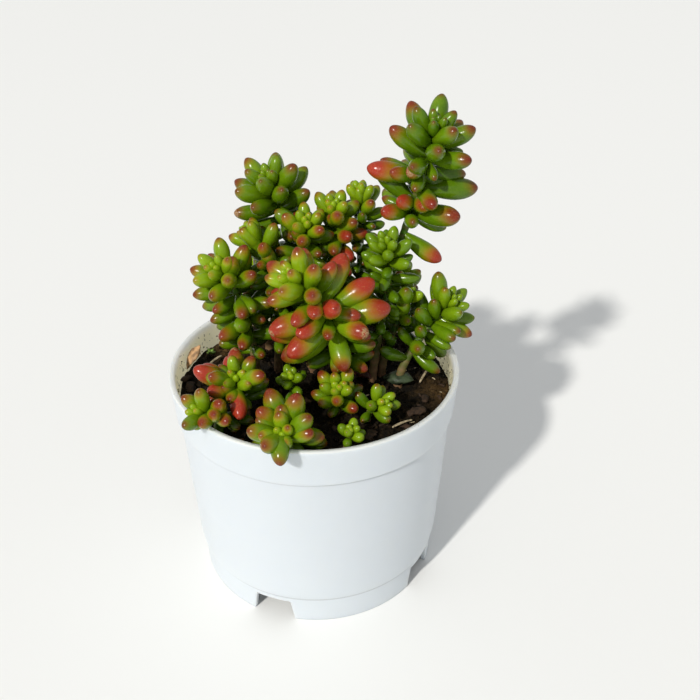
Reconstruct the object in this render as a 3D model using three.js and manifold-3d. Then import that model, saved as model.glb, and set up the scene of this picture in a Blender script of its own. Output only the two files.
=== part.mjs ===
// Jelly bean plant in a nursery pot: leafy stems standing in soil that fills a thin moulded pot.
// Millimetres, +Z up, the viewer's side at -Y. Everything is laid out round the pot's axis. At the end the
// whole group moves, so that the origin lies under the middle of the outline, on the surface it stands on.

import * as THREE from 'three';
import { mergeVertices } from 'three/addons/utils/BufferGeometryUtils.js';
import Module from 'manifold-3d';

const wasm = await Module();
wasm.setup();

// Driving dimensions of the pot
const POT_HEIGHT = 73;
const RIM_RADIUS = 45;
const RIM_WALL = 1.7;
const LIP_ROUND = 0.5;
const BAND_STEP = 0.4;
const BAND_BOTTOM = 60.4;
const BAND_RADIUS = 44;
const BODY_RADIUS = 43;
const BODY_WALL = 1.3;
const HEEL_HEIGHT = 18;
const HEEL_RADIUS = 40.6;
const SEAM_HEIGHT = 10.4;
const SEAM_RADIUS = 39.8;
const SEAM_STEP = 0.3;
const FOOT_TOP_RADIUS = 39.2;
const FOOT_RADIUS = 38.8;
const FOOT_WALL = 1.5;
const FLOOR_UNDERSIDE = 8.4;
const FLOOR_THICKNESS = 1.6;
const FLOOR_ROUND = 1.6;
const POT_SIDES = 32;

// Notches in the foot ring, in two opposite pairs, and the drain holes of the floor
const NOTCH_AZIMUTHS = [-20, 61, 160, 241];
const NOTCH_HEIGHT = 7.8;
const NOTCH_TOP_WIDTH = 11.5;
const NOTCH_BOTTOM_WIDTH = 13.9;
const NOTCH_CUT_FROM = 33;
const NOTCH_CUT_TO = 42;
const DRAIN_RADIUS = 3.5;
const DRAIN_CIRCLE = 31;
const DRAIN_SIDES = 8;

// Soil
const CLEARANCE = 0.3;
const SOIL_EDGE = 64.5;
const SOIL_CROWN = 1.6;
const SOIL_LUMP = 0.5;
const LUMPS_ACROSS = 0.35;
const LUMPS_ALONG = 0.3;
const LUMPS_PHASE = [1, 2];
const SOIL_RINGS = 3;
const ROOT_DEPTH = 10;
const HOLE_SIDES = 5;

// Stems and leaves
const STEM_RADIUS = 1.7;
const STEM_TIP_RADIUS = 0.9;
const STEM_SIDES = 5;
const STEM_STEP = 11;
const FOOT_RUN = 0.35;
const TIP_RUN = 0.35;
const LOWEST_LEAF = 3;
const STEM_BALL_SPACING = 2;
const LEAF_GAP = 0.5;
const SEED = 20;

// A leaf: half widths are shares of its length, and its outline is widest at the belly
const NECK = 0.35;
const BELLY = 0.62;
const TIP_FULLNESS = 2.1;
const TIP_ROUNDNESS = 0.58;
const FACET_FULLNESS = 1.06;
const RINGS_TO_TIP = 0.75;
const SMALL_LEAF = 7;
const LARGE_LEAF = 14.6;

// A rosette: age runs from 0 at its heart to 1 at its outermost leaf
const GOLDEN_ANGLE = 137.5;
const BUD_LENGTH = 5;
const BUD_EXTRA_WIDTH = 0.03;
const FULL_BUD_AT = 9;
const FULL_SIZE_AGE = 0.55;
const DEPTH_CURVE = 1.2;
const HEART_TILT = 16;
const EDGE_TILT = 80;
const TILT_CURVE = 0.75;
const ROSETTE_BEND = 16;
const HEART_LEAVES = 4;
const SIZE_SPREAD = 0.06;
const TILT_SPREAD = 4;
const SIDE_SPREAD = 5;

// Leaves below the rosette, and the ones that stand out on the plant
const BELOW_SPACING = 2.8;
const BELOW_TILTS = [88, 112];
const BELOW_SIZES = [0.85, 1.1];
const BELOW_SIDE_SPREAD = 12;
const BELOW_BEND = 20;
const GROWN_BEND = 14;
const GROWN_EXTRA_WIDTH = 0.01;
const HANGING_BEND = -80;

// Each stem has its foot on the soil, its tip, and the lean of the tip: degrees from upright, and the side
// it leans to, 0 for +X and 90 for +Y. Its rosette has so many leaves within a depth below the tip, turned
// from phase in a spiral of either hand; so many more follow down the stem. plump is a leaf's half width as a
// share of its length. The first few are the buds at the rosette's heart: they keep their place free, but
// they are too small for solids of their own. grown lists the leaves that stand out on the plant: distance
// below the tip, side, tilt from the stem, length. hanging is one that droops over the rim.
const STEMS = [
  { name: 'stem_centre', foot: [10, -6], tip: [-4.5, -15, 110], lean: 42, side: 200, run: 0.4,
    leaves: 16, length: 12.5, depth: 8, phase: 150, hand: -1, below: 4, plump: 0.192,
    grown: [
      [8, 285, 80, 12], [11, 40, 74, 16.5], [14, 20, 95, 17], [16, 0, 108, 18.5],
      [17, 320, 100, 15], [19, 275, 130, 15], [12, 310, 70, 14], [17, 225, 92, 17],
      [14, 245, 75, 14], [13, 205, 80, 17], [17, 190, 88, 18], [22, 205, 95, 18],
    ] },
  { name: 'stem_tall', foot: [19, 8], tip: [34, 2, 146.5], lean: 20, side: 290, run: 0.3,
    leaves: 18, length: 13.5, depth: 11, phase: 60, hand: 1, below: 3, plump: 0.178,
    grown: [
      [16, 180, 100, 16], [25, 165, 70, 15], [16, 210, 85, 12], [12, 240, 85, 12],
      [28, 222, 88, 13], [25, 240, 76, 12.5], [25, 278, 70, 12.5], [30, 268, 78, 11],
      [16, 12, 112, 14], [20, 0, 85, 17], [28, 318, 74, 17], [36, 345, 115, 14],
    ] },
  { name: 'stem_front', foot: [-6, -30], tip: [-7.5, -41, 75.5], lean: 42, side: 262,
    leaves: 13, length: 10.5, depth: 6, phase: 350, hand: 1, below: 2, plump: 0.205,
    hanging: [1, 276, 18, 12],
    grown: [
      [5, 70, 76, 14], [6, 90, 55, 12], [7, 0, 76, 12], [1, 230, 38, 12],
      [7, 130, 60, 13], [3, 35, 66, 12], [3, 180, 54, 12], [7, 110, 86, 14.5],
    ] },
  { name: 'stem_front_left', foot: [-20, -18], tip: [-22, -21, 80.5], lean: 35, side: 280,
    leaves: 12, length: 10, depth: 7, phase: 290, hand: -1, below: 1, plump: 0.188,
    grown: [
      [4, 172, 60, 14], [7, 148, 62, 14], [6, 90, 55, 13], [6, 108, 75, 12],
      [2, 280, 88, 13], [1, 350, 54, 12], [1, 200, 46, 11], [4, 228, 56, 12],
      [5, 250, 44, 10],
    ] },
  { name: 'stem_right', foot: [26, -2], tip: [41.5, 4, 91.5], lean: 35, side: 320,
    leaves: 15, length: 11.5, depth: 10, phase: 160, hand: -1, below: 4, plump: 0.175,
    grown: [
      [3, 165, 52, 13.5], [6, 345, 85, 12], [9, 300, 85, 12], [9, 225, 85, 12],
      [12, 30, 100, 13], [16, 270, 100, 13],
    ] },
  { name: 'stem_left', foot: [-18, -2], tip: [-27, -2, 106], lean: 45, side: 235,
    leaves: 17, length: 12, depth: 9, phase: 105, hand: -1, below: 4, plump: 0.185,
    grown: [
      [6, 345, 40, 12], [9, 30, 55, 12], [12, 180, 100, 12], [12, 300, 100, 12],
      [20, 270, 85, 13],
    ] },
  { name: 'stem_bright', foot: [18, 0], tip: [21.5, 1, 112], lean: 30, side: 240,
    leaves: 17, length: 9.5, depth: 9, phase: 160, hand: -1, below: 4, plump: 0.185 },
  { name: 'stem_upper_left', foot: [-4, 16], tip: [-13.5, 20, 124.5], lean: 25, side: 235,
    leaves: 19, length: 14, depth: 10, phase: 150, hand: -1, below: 4, plump: 0.178 },
  { name: 'sprout_middle', foot: [-6, -12], tip: [-6.5, -14, 77], lean: 30, side: 270,
    leaves: 10, length: 5.5, depth: 5, phase: 145, hand: 1, below: 0, plump: 0.27 },
  { name: 'sprout_front', foot: [10, -33], tip: [11.5, -34, 72], lean: 35, side: 255,
    leaves: 10, length: 5.2, depth: 5, phase: 275, hand: -1, below: 0, plump: 0.27 },
  { name: 'stem_front_right', foot: [16, -20], tip: [20, -22, 73], lean: 60, side: 310,
    leaves: 12, length: 7.6, depth: 5, phase: 100, hand: -1, below: 2, plump: 0.22 },
  { name: 'stem_front_middle', foot: [8, -17], tip: [7.5, -20, 76.5], lean: 35, side: 275,
    leaves: 16, length: 8.8, depth: 7, phase: 295, hand: -1, below: 3, plump: 0.215 },
  { name: 'stem_rim_left', foot: [-25, -20], tip: [-30.5, -31.5, 76.5], lean: 45, side: 215,
    leaves: 13, length: 9.4, depth: 7, phase: 100, hand: -1, below: 3, plump: 0.2,
    grown: [
      [3, 130, 46, 10], [1, 45, 46, 10], [1, 270, 40, 10], [3, 320, 46, 10],
      [5, 335, 62, 10], [4, 25, 58, 10.5],
    ] },
  { name: 'stem_top_left', foot: [-1, 6], tip: [-2, 8.5, 115.5], lean: 30, side: 280,
    leaves: 16, length: 10, depth: 8, phase: 200, hand: -1, below: 3, plump: 0.195,
    grown: [
      [9, 165, 70, 12], [12, 180, 72, 12.5], [3, 165, 85, 13], [6, 225, 55, 10],
      [9, 150, 55, 10], [6, 105, 70, 10],
    ] },
  { name: 'stem_top_middle', foot: [5, 14], tip: [6, 13.5, 118], lean: 25, side: 260,
    leaves: 19, length: 10.6, depth: 9, phase: 305, hand: -1, below: 3, plump: 0.195,
    grown: [
      [9, 285, 70, 11], [9, 270, 85, 11], [12, 300, 100, 10.5], [9, 240, 85, 10],
    ] },
  { name: 'stem_shoulder', foot: [-12, 6], tip: [-18, 8, 112], lean: 45, side: 160,
    leaves: 17, length: 10.4, depth: 9, phase: 275, hand: -1, below: 2, plump: 0.19,
    grown: [
      [12, 285, 40, 11], [9, 135, 70, 11], [6, 225, 40, 12],
    ] },
  { name: 'stem_top_right', foot: [13, 20], tip: [14, 19, 120.5], lean: 10, side: 110,
    leaves: 16, length: 8.8, depth: 8, phase: 10, hand: 1, below: 4, plump: 0.2 },
  { name: 'stem_shaded', foot: [21, 4], tip: [29, 6, 93], lean: 25, side: 300,
    leaves: 10, length: 11, depth: 10, phase: 40, hand: 1, below: 3, plump: 0.19,
    grown: [
      [4, 240, 40, 12.5], [9, 255, 55, 12], [19, 285, 100, 12],
    ] },
  { name: 'stem_back_left', foot: [-16, 20], tip: [-20, 24, 93], lean: 20, side: 110,
    leaves: 13, length: 10, depth: 8, phase: 40, hand: 1, below: 2, plump: 0.2 },
  { name: 'stem_back', foot: [3, 26], tip: [5, 30, 92], lean: 20, side: 80,
    leaves: 12, length: 10, depth: 8, phase: 80, hand: -1, below: 2, plump: 0.2 },
  { name: 'stem_back_right', foot: [23, 20], tip: [28, 24, 91], lean: 25, side: 30,
    leaves: 12, length: 10, depth: 8, phase: 150, hand: 1, below: 2, plump: 0.2 },
  { name: 'stem_far_left', foot: [-7, 31], tip: [-9, 34, 90], lean: 25, side: 110,
    leaves: 11, length: 8.7, depth: 7, phase: 100, hand: 1, below: 2, plump: 0.2 },
  { name: 'stem_between', foot: [-9, 11], tip: [-12, 11.5, 107], lean: 30, side: 250,
    leaves: 13, length: 10.5, depth: 8, phase: 30, hand: 1, below: 2, plump: 0.19,
    grown: [
      [3, 315, 55, 11], [6, 60, 40, 10],
    ] },
];

// Ways that a leaf may grow aside when its own place is taken, tried in turn: change of tilt, change of
// side, share of its length.
const WAYS_ASIDE = [
  [0, 0, 1], [-9, 0, 1], [9, 0, 1], [0, 14, 1], [0, -14, 1],
  [-12, 12, 0.92], [-12, -12, 0.92], [12, 12, 0.92], [12, -12, 0.92],
  [-22, 0, 0.88], [22, 0, 0.85], [0, 28, 0.85], [0, -28, 0.85],
  [-32, 10, 0.8], [-20, -30, 0.8], [-20, 30, 0.8],
  [0, 0, 0.7], [-30, 0, 0.7], [15, -30, 0.7], [15, 30, 0.7], [-10, 0, 0.55],
];

const { degToRad, lerp } = THREE.MathUtils;

// Colours and finishes
const finish = (color, roughness) => new THREE.MeshStandardMaterial({ color, roughness, metalness: 0 });
const potPlastic = () => finish(0xeef1f2, 0.38);
const darkSoil = () => finish(0x2e2119, 0.95);
const waxyLeaf = () => finish(0x86a829, 0.32);

// A closed geometry as a solid, and a solid as a geometry
function toSolid(geometry) {
  const bare = geometry.clone();
  bare.deleteAttribute('normal');
  bare.deleteAttribute('uv');
  const merged = mergeVertices(bare, 1e-4);
  return new wasm.Manifold(new wasm.Mesh({
    numProp: 3,
    vertProperties: Float32Array.from(merged.attributes.position.array),
    triVerts: Uint32Array.from(merged.index.array),
  }));
}

function toGeometry(solid) {
  const mesh = solid.getMesh();
  const geometry = new THREE.BufferGeometry();
  geometry.setAttribute('position', new THREE.BufferAttribute(mesh.vertProperties, 3));
  geometry.setIndex(new THREE.BufferAttribute(mesh.triVerts, 1));
  geometry.computeVertexNormals();
  return geometry;
}

// A profile of [radius, height] points turned round the Z axis
function turned(profile, sides) {
  const points = profile.map(([radius, height]) => new THREE.Vector2(radius, height));
  return new THREE.LatheGeometry(points, sides).rotateX(Math.PI / 2);
}

// A point at an azimuth from the front, which runs round towards the right
function fromFront(azimuth, radius, height) {
  const turn = degToRad(azimuth);
  return new THREE.Vector3(radius * Math.sin(turn), -radius * Math.cos(turn), height);
}

// The inner face of the wall, from the floor to under the band
const FLOOR_TOP = FLOOR_UNDERSIDE + FLOOR_THICKNESS;
const INNER_TOP_RADIUS = RIM_RADIUS - RIM_WALL;
const INNER_FACE = [
  [SEAM_RADIUS - BODY_WALL - BAND_STEP - FLOOR_ROUND, FLOOR_TOP],
  [SEAM_RADIUS - BODY_WALL - BAND_STEP, FLOOR_TOP + FLOOR_ROUND],
  [HEEL_RADIUS - BODY_WALL, HEEL_HEIGHT],
  [BODY_RADIUS - BODY_WALL, BAND_BOTTOM - RIM_WALL],
  [BAND_RADIUS - RIM_WALL, BAND_BOTTOM + BAND_STEP],
];

function innerRadius(height) {
  const face = [...INNER_FACE, [INNER_TOP_RADIUS, POT_HEIGHT]];
  const above = face.findIndex(([, top]) => top >= height);
  const [[r0, z0], [r1, z1]] = [face[above - 1], face[above]];
  return lerp(r0, r1, (height - z0) / (z1 - z0));
}

function drainNotch(azimuth) {
  const outline = new THREE.Shape([
    new THREE.Vector2(-NOTCH_BOTTOM_WIDTH / 2, -1),
    new THREE.Vector2(NOTCH_BOTTOM_WIDTH / 2, -1),
    new THREE.Vector2(NOTCH_TOP_WIDTH / 2, NOTCH_HEIGHT),
    new THREE.Vector2(-NOTCH_TOP_WIDTH / 2, NOTCH_HEIGHT),
  ]);
  const depth = NOTCH_CUT_TO - NOTCH_CUT_FROM;
  const prism = new THREE.ExtrudeGeometry(outline, { depth, bevelEnabled: false });
  prism.rotateX(Math.PI / 2);
  prism.translate(0, -NOTCH_CUT_FROM, 0);
  return toSolid(prism.rotateZ(degToRad(azimuth)));
}

function drainHole(centre) {
  const bore = new THREE.CylinderGeometry(DRAIN_RADIUS, DRAIN_RADIUS, 4 * FLOOR_THICKNESS, DRAIN_SIDES);
  bore.rotateX(Math.PI / 2);
  return toSolid(bore.translate(centre.x, centre.y, FLOOR_UNDERSIDE + FLOOR_THICKNESS / 2));
}

function makePot() {
  const shell = turned([
    [0, FLOOR_UNDERSIDE],
    [FOOT_TOP_RADIUS - FOOT_WALL, FLOOR_UNDERSIDE],
    [FOOT_RADIUS - FOOT_WALL, 0],
    [FOOT_RADIUS, 0],
    [FOOT_TOP_RADIUS, SEAM_HEIGHT - SEAM_STEP],
    [SEAM_RADIUS, SEAM_HEIGHT],
    [lerp(SEAM_RADIUS, HEEL_RADIUS, 0.6), lerp(SEAM_HEIGHT, HEEL_HEIGHT, 0.35)],
    [HEEL_RADIUS, HEEL_HEIGHT],
    [BODY_RADIUS, BAND_BOTTOM - BAND_STEP],
    [BAND_RADIUS, BAND_BOTTOM],
    [RIM_RADIUS, POT_HEIGHT - LIP_ROUND],
    [RIM_RADIUS - LIP_ROUND, POT_HEIGHT],
    [INNER_TOP_RADIUS + LIP_ROUND, POT_HEIGHT],
    [INNER_TOP_RADIUS, POT_HEIGHT - LIP_ROUND],
    ...INNER_FACE.toReversed(),
    [0, FLOOR_TOP],
  ], POT_SIDES);
  let pot = toSolid(shell);
  for (const azimuth of NOTCH_AZIMUTHS) {
    pot = pot.subtract(drainNotch(azimuth));
    pot = pot.subtract(drainHole(fromFront(azimuth, DRAIN_CIRCLE, 0)));
  }
  return pot.subtract(drainHole(new THREE.Vector3()));
}

// Height of the soil's lumpy surface, highest in the middle
function soilHeight(x, y) {
  const share = Math.hypot(x, y) / INNER_TOP_RADIUS;
  const across = Math.sin(LUMPS_ACROSS * x + LUMPS_PHASE[0]);
  const along = Math.cos(LUMPS_ALONG * y + LUMPS_PHASE[1]);
  return SOIL_EDGE + SOIL_CROWN * (1 - share * share) + SOIL_LUMP * across * along;
}

function stemHole([x, y]) {
  const radius = (STEM_RADIUS + CLEARANCE) / Math.cos(Math.PI / HOLE_SIDES);
  const top = POT_HEIGHT;
  const bottom = SOIL_EDGE - ROOT_DEPTH - CLEARANCE;
  const hole = new THREE.CylinderGeometry(radius, radius, top - bottom, HOLE_SIDES);
  hole.rotateX(Math.PI / 2);
  return toSolid(hole.translate(x, y, (top + bottom) / 2));
}

function makeSoil() {
  const side = INNER_FACE.map(([radius, height]) => [radius - CLEARANCE, height + CLEARANCE]);
  const edge = innerRadius(SOIL_EDGE) - CLEARANCE;
  const surface = [];
  for (let ring = SOIL_RINGS; ring >= 0; ring -= 1) surface.push([edge * ring / SOIL_RINGS, SOIL_EDGE]);
  const bed = turned([[0, FLOOR_TOP + CLEARANCE], ...side, ...surface], POT_SIDES);
  const points = bed.attributes.position;
  for (let i = 0; i < points.count; i += 1) {
    if (points.getZ(i) > SOIL_EDGE - 1e-3) {
      points.setZ(i, soilHeight(points.getX(i), points.getY(i)));
    }
  }
  return STEMS.reduce((soil, stem) => soil.subtract(stemHole(stem.foot)), toSolid(bed));
}

// The visible run of a stem: upright from the soil, then over to its lean at the tip
function stemCurve({ foot, tip, lean, side, run = TIP_RUN }) {
  const start = new THREE.Vector3(foot[0], foot[1], SOIL_EDGE);
  const end = new THREE.Vector3(...tip);
  const reach = start.distanceTo(end);
  const [tilt, turn] = [degToRad(lean), degToRad(side)];
  const axis = new THREE.Vector3(
    Math.sin(tilt) * Math.cos(turn), Math.sin(tilt) * Math.sin(turn), Math.cos(tilt));
  const curve = new THREE.CubicBezierCurve3(
    start,
    start.clone().setZ(SOIL_EDGE + FOOT_RUN * reach),
    end.clone().addScaledVector(axis, -run * reach),
    end,
  );
  return { curve, start, reach };
}

// A tapered stem: a cylinder bent along its curve, with its foot upright in the soil
function makeStem({ curve, start, reach }) {
  const path = new THREE.CurvePath();
  path.add(new THREE.LineCurve3(start.clone().setZ(SOIL_EDGE - ROOT_DEPTH), start));
  path.add(curve);
  const steps = Math.max(4, Math.round((reach + ROOT_DEPTH) / STEM_STEP));
  const { normals, binormals } = path.computeFrenetFrames(steps);
  const centres = path.getSpacedPoints(steps);
  const tube = new THREE.CylinderGeometry(STEM_TIP_RADIUS, STEM_RADIUS, 1, STEM_SIDES, steps);
  const points = tube.attributes.position;
  for (let i = 0; i < points.count; i += 1) {
    const step = Math.round((points.getY(i) + 0.5) * steps);
    const place = centres[step].clone();
    place.addScaledVector(binormals[step], points.getX(i));
    place.addScaledVector(normals[step], points.getZ(i));
    points.setXYZ(i, place.x, place.y, place.z);
  }
  return toSolid(tube);
}

// Half width of a leaf along its length, as a share of the widest
function leafWidth(along) {
  if (along < BELLY) return NECK + (1 - NECK) * Math.sin(Math.PI / 2 * along / BELLY);
  const past = (along - BELLY) / (1 - BELLY);
  return Math.max(0, 1 - past ** TIP_FULLNESS) ** TIP_ROUNDNESS;
}

// A leaf rooted on the middle line of its stem, curving up towards the stem's tip
class Leaf {
  constructor({ curve, reach }, { below, side, tilt, length, fat, bend, heart = false }) {
    this.heart = heart;
    this.root = curve.getPoint(1 - below / reach);
    this.stemward = curve.getTangent(1 - below / reach);
    const level = new THREE.Vector3(1, 0, 0);
    level.addScaledVector(this.stemward, -this.stemward.x).normalize();
    const across = new THREE.Vector3().crossVectors(this.stemward, level);
    this.outward = level.multiplyScalar(Math.cos(degToRad(side)));
    this.outward.addScaledVector(across, Math.sin(degToRad(side)));
    this.sideways = new THREE.Vector3().crossVectors(this.stemward, this.outward);
    this.tilt = degToRad(tilt);
    this.bend = degToRad(bend);
    this.length = length;
    this.halfWidth = length * fat;
  }

  centre(along) {
    const angle = this.tilt - this.bend * along;
    const radius = this.length / this.bend;
    return this.root.clone()
      .addScaledVector(this.stemward, radius * (Math.sin(this.tilt) - Math.sin(angle)))
      .addScaledVector(this.outward, radius * (Math.cos(angle) - Math.cos(this.tilt)));
  }

  balls() {
    return [0.15, 0.3, 0.45, 0.6, 0.75, 0.9].map((along) => (
      { centre: this.centre(along), radius: this.halfWidth * leafWidth(along) }));
  }

  solid() {
    const sides = this.length > LARGE_LEAF ? 5 : 4;
    const bands = this.length > SMALL_LEAF ? 3 : 2;
    const body = new THREE.SphereGeometry(1, sides, bands);
    const points = body.attributes.position;
    for (let i = 0; i < points.count; i += 1) {
      const along = ((1 + points.getY(i)) / 2) ** RINGS_TO_TIP;
      const angle = this.tilt - this.bend * along;
      const round = Math.hypot(points.getX(i), points.getZ(i));
      const width = round > 1e-6 ? FACET_FULLNESS * this.halfWidth * leafWidth(along) / round : 0;
      const place = this.centre(along)
        .addScaledVector(this.sideways, points.getX(i) * width)
        .addScaledVector(this.stemward, -points.getZ(i) * width * Math.sin(angle))
        .addScaledVector(this.outward, points.getZ(i) * width * Math.cos(angle));
      points.setXYZ(i, place.x, place.y, place.z);
    }
    return toSolid(body);
  }
}

// Draws between two limits, one after another, from a seed
function seeded(seed) {
  let draw = seed;
  return (low, high) => {
    draw = (draw * 16807) % 2147483647;
    return low + (high - low) * draw / 2147483647;
  };
}

const ease = (share) => share * share * (3 - 2 * share);

// Every leaf that a stem would grow with nothing in its way
function wantedLeaves(stem) {
  const between = seeded(SEED * (1 + STEMS.indexOf(stem)));
  const large = ([below, side, tilt, length], bend) => (
    { below, side, tilt, length, fat: stem.plump + GROWN_EXTRA_WIDTH, bend });
  const wanted = (stem.grown ?? []).map((leaf) => large(leaf, GROWN_BEND));
  if (stem.hanging) wanted.push(large(stem.hanging, HANGING_BEND));
  const bud = BUD_LENGTH * Math.min(1, stem.length / FULL_BUD_AT);
  const turn = GOLDEN_ANGLE * stem.hand;
  for (let k = 0; k < stem.leaves; k += 1) {
    const age = k / (stem.leaves - 1);
    const size = lerp(bud, stem.length, ease(Math.min(1, age / FULL_SIZE_AGE)));
    wanted.push({
      length: size * between(1 - SIZE_SPREAD, 1 + SIZE_SPREAD),
      below: stem.depth * age ** DEPTH_CURVE,
      tilt: lerp(HEART_TILT, EDGE_TILT, age ** TILT_CURVE) + between(-TILT_SPREAD, TILT_SPREAD) * age,
      side: stem.phase + turn * k + between(-SIDE_SPREAD, SIDE_SPREAD),
      fat: stem.plump + BUD_EXTRA_WIDTH * (1 - age),
      bend: ROSETTE_BEND,
      heart: k < HEART_LEAVES,
    });
  }
  for (let k = 0; k < stem.below; k += 1) {
    wanted.push({
      below: stem.depth + BELOW_SPACING * (k + 1),
      side: stem.phase + turn * (stem.leaves + k) + between(-BELOW_SIDE_SPREAD, BELOW_SIDE_SPREAD),
      tilt: between(...BELOW_TILTS),
      length: stem.length * between(...BELOW_SIZES),
      fat: stem.plump,
      bend: BELOW_BEND,
    });
  }
  return wanted;
}

// What is taken, as balls sorted into boxes: every stem first, then each leaf as it finds its place
const BOX = 10;
const taken = new Map();
const boxOf = (value) => Math.floor(value / BOX);

function take(owner, { centre, radius }) {
  const key = [boxOf(centre.x), boxOf(centre.y), boxOf(centre.z)].join();
  if (!taken.has(key)) taken.set(key, []);
  taken.get(key).push({ owner, centre, radius });
}

function clearOfPot({ centre, radius }) {
  const out = Math.hypot(centre.x, centre.y);
  const room = radius + LEAF_GAP;
  const overSoil = out < RIM_RADIUS;
  if (overSoil && centre.z - room < soilHeight(centre.x, centre.y)) return false;
  const aside = Math.max(0, Math.abs(out - RIM_RADIUS + RIM_WALL / 2) - RIM_WALL / 2);
  return Math.hypot(Math.max(0, centre.z - POT_HEIGHT), aside) > room;
}

function clearOfPlant(owner, { centre, radius }) {
  const [bx, by, bz] = [boxOf(centre.x), boxOf(centre.y), boxOf(centre.z)];
  for (let x = bx - 1; x <= bx + 1; x += 1) {
    for (let y = by - 1; y <= by + 1; y += 1) {
      for (let z = bz - 1; z <= bz + 1; z += 1) {
        for (const other of taken.get([x, y, z].join()) ?? []) {
          const room = radius + other.radius + LEAF_GAP;
          if (other.owner !== owner && centre.distanceTo(other.centre) < room) return false;
        }
      }
    }
  }
  return true;
}

function grow(stem, run, wanted) {
  for (const [tilt, side, share] of WAYS_ASIDE) {
    const leaf = new Leaf(run, {
      ...wanted, tilt: wanted.tilt + tilt, side: wanted.side + side, length: wanted.length * share,
    });
    const balls = leaf.balls();
    if (balls.every((ball) => clearOfPot(ball) && clearOfPlant(stem.name, ball))) {
      balls.forEach((ball) => take(stem.name, ball));
      return leaf;
    }
  }
  return null;
}

// The whole plant, leaf by leaf
const runs = STEMS.map(stemCurve);
STEMS.forEach((stem, i) => {
  const count = Math.max(6, Math.floor(runs[i].reach / STEM_BALL_SPACING));
  for (let k = 0; k <= count; k += 1) {
    take(stem.name, { centre: runs[i].curve.getPoint(k / count), radius: STEM_RADIUS });
  }
});

// The outer skin alone, so that a pocket closed in between fused leaves is filled
function filled(solid) {
  return solid.decompose().reduce((most, piece) => (piece.volume() > most.volume() ? piece : most));
}

function makeLeafyStem(stem, run) {
  const reachable = (leaf) => leaf.below < run.reach - LOWEST_LEAF;
  const leaves = wantedLeaves(stem).filter(reachable).map((wanted) => grow(stem, run, wanted));
  const solid = leaves.filter((leaf) => leaf && !leaf.heart);
  return filled(solid.reduce((whole, leaf) => whole.add(leaf.solid()), makeStem(run)));
}

function named(name, solid, material) {
  const mesh = new THREE.Mesh(toGeometry(solid), material);
  mesh.name = name;
  return mesh;
}

const plant = new THREE.Group();
plant.add(named('pot', makePot(), potPlastic()));
plant.add(named('soil', makeSoil(), darkSoil()));
STEMS.forEach((stem, i) => plant.add(named(stem.name, makeLeafyStem(stem, runs[i]), waxyLeaf())));

const outline = new THREE.Box3().setFromObject(plant).getCenter(new THREE.Vector3());
plant.position.set(-outline.x, -outline.y, 0);

export default plant;
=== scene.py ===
# A jelly bean plant in a white nursery pot, dressed around its measured solids.
# Everything is modelled in millimetres round the pot's axis, with the viewer's side at -Y and +Z up.
# finished() then brings each mesh into the frame, in metres.

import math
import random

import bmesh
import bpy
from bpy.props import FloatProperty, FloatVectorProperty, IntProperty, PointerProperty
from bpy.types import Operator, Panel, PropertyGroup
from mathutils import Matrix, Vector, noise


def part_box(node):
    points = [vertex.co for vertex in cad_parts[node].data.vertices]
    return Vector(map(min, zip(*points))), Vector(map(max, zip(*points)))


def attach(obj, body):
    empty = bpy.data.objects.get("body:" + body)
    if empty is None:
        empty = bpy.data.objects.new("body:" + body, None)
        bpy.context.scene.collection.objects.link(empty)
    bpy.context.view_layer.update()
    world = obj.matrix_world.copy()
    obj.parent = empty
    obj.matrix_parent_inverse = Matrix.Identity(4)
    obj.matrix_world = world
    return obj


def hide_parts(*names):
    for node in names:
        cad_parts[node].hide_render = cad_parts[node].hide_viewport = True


bl_info = {
    "name": "Potted jelly bean plant",
    "version": (1, 0, 0),
    "blender": (4, 5, 0),
    "location": "View3D > Sidebar > Plant",
    "description": "Models a jelly bean plant in its nursery pot, with its soil and litter",
    "category": "Object",
}

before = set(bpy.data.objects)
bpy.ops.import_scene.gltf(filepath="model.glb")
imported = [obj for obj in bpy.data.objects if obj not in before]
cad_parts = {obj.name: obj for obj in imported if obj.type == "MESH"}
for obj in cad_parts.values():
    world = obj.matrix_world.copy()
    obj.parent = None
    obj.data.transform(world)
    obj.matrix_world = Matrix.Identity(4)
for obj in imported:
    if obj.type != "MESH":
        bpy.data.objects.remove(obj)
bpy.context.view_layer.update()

MM = 0.001
BODY = "root"

POT_LOW, POT_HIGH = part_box("pot")
POT_AXIS = Vector(((POT_LOW.x + POT_HIGH.x) / 2, (POT_LOW.y + POT_HIGH.y) / 2, 0))

# Pot, in the same sizes as its solid
POT_HEIGHT = 73
RIM_RADIUS = 45
RIM_WALL = 1.7
BAND_BOTTOM = 60.4
BAND_RADIUS = 44
BAND_STEP = 0.4
BODY_RADIUS = 43
BODY_WALL = 1.3
HEEL_HEIGHT = 18
HEEL_RADIUS = 40.6
SEAM_HEIGHT = 10.4
SEAM_RADIUS = 39.8
SEAM_STEP = 0.3
FOOT_TOP_RADIUS = 39.2
FOOT_RADIUS = 38.8
FOOT_WALL = 1.5
FLOOR_UNDERSIDE = 8.4
FLOOR_THICKNESS = 1.6
FLOOR_ROUND = 1.6
FLOOR_TOP = FLOOR_UNDERSIDE + FLOOR_THICKNESS
FLOOR_RADIUS = SEAM_RADIUS - BODY_WALL - BAND_STEP
INNER_TOP_RADIUS = RIM_RADIUS - RIM_WALL
INNER_BAND_RADIUS = BAND_RADIUS - RIM_WALL
NOTCH_AZIMUTHS = (-20, 61, 160, 241)
NOTCH_HEIGHT = 7.8
NOTCH_TOP_WIDTH = 11.5
NOTCH_BOTTOM_WIDTH = 13.9
DRAIN_RADIUS = 3.5
DRAIN_CIRCLE = 31

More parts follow.
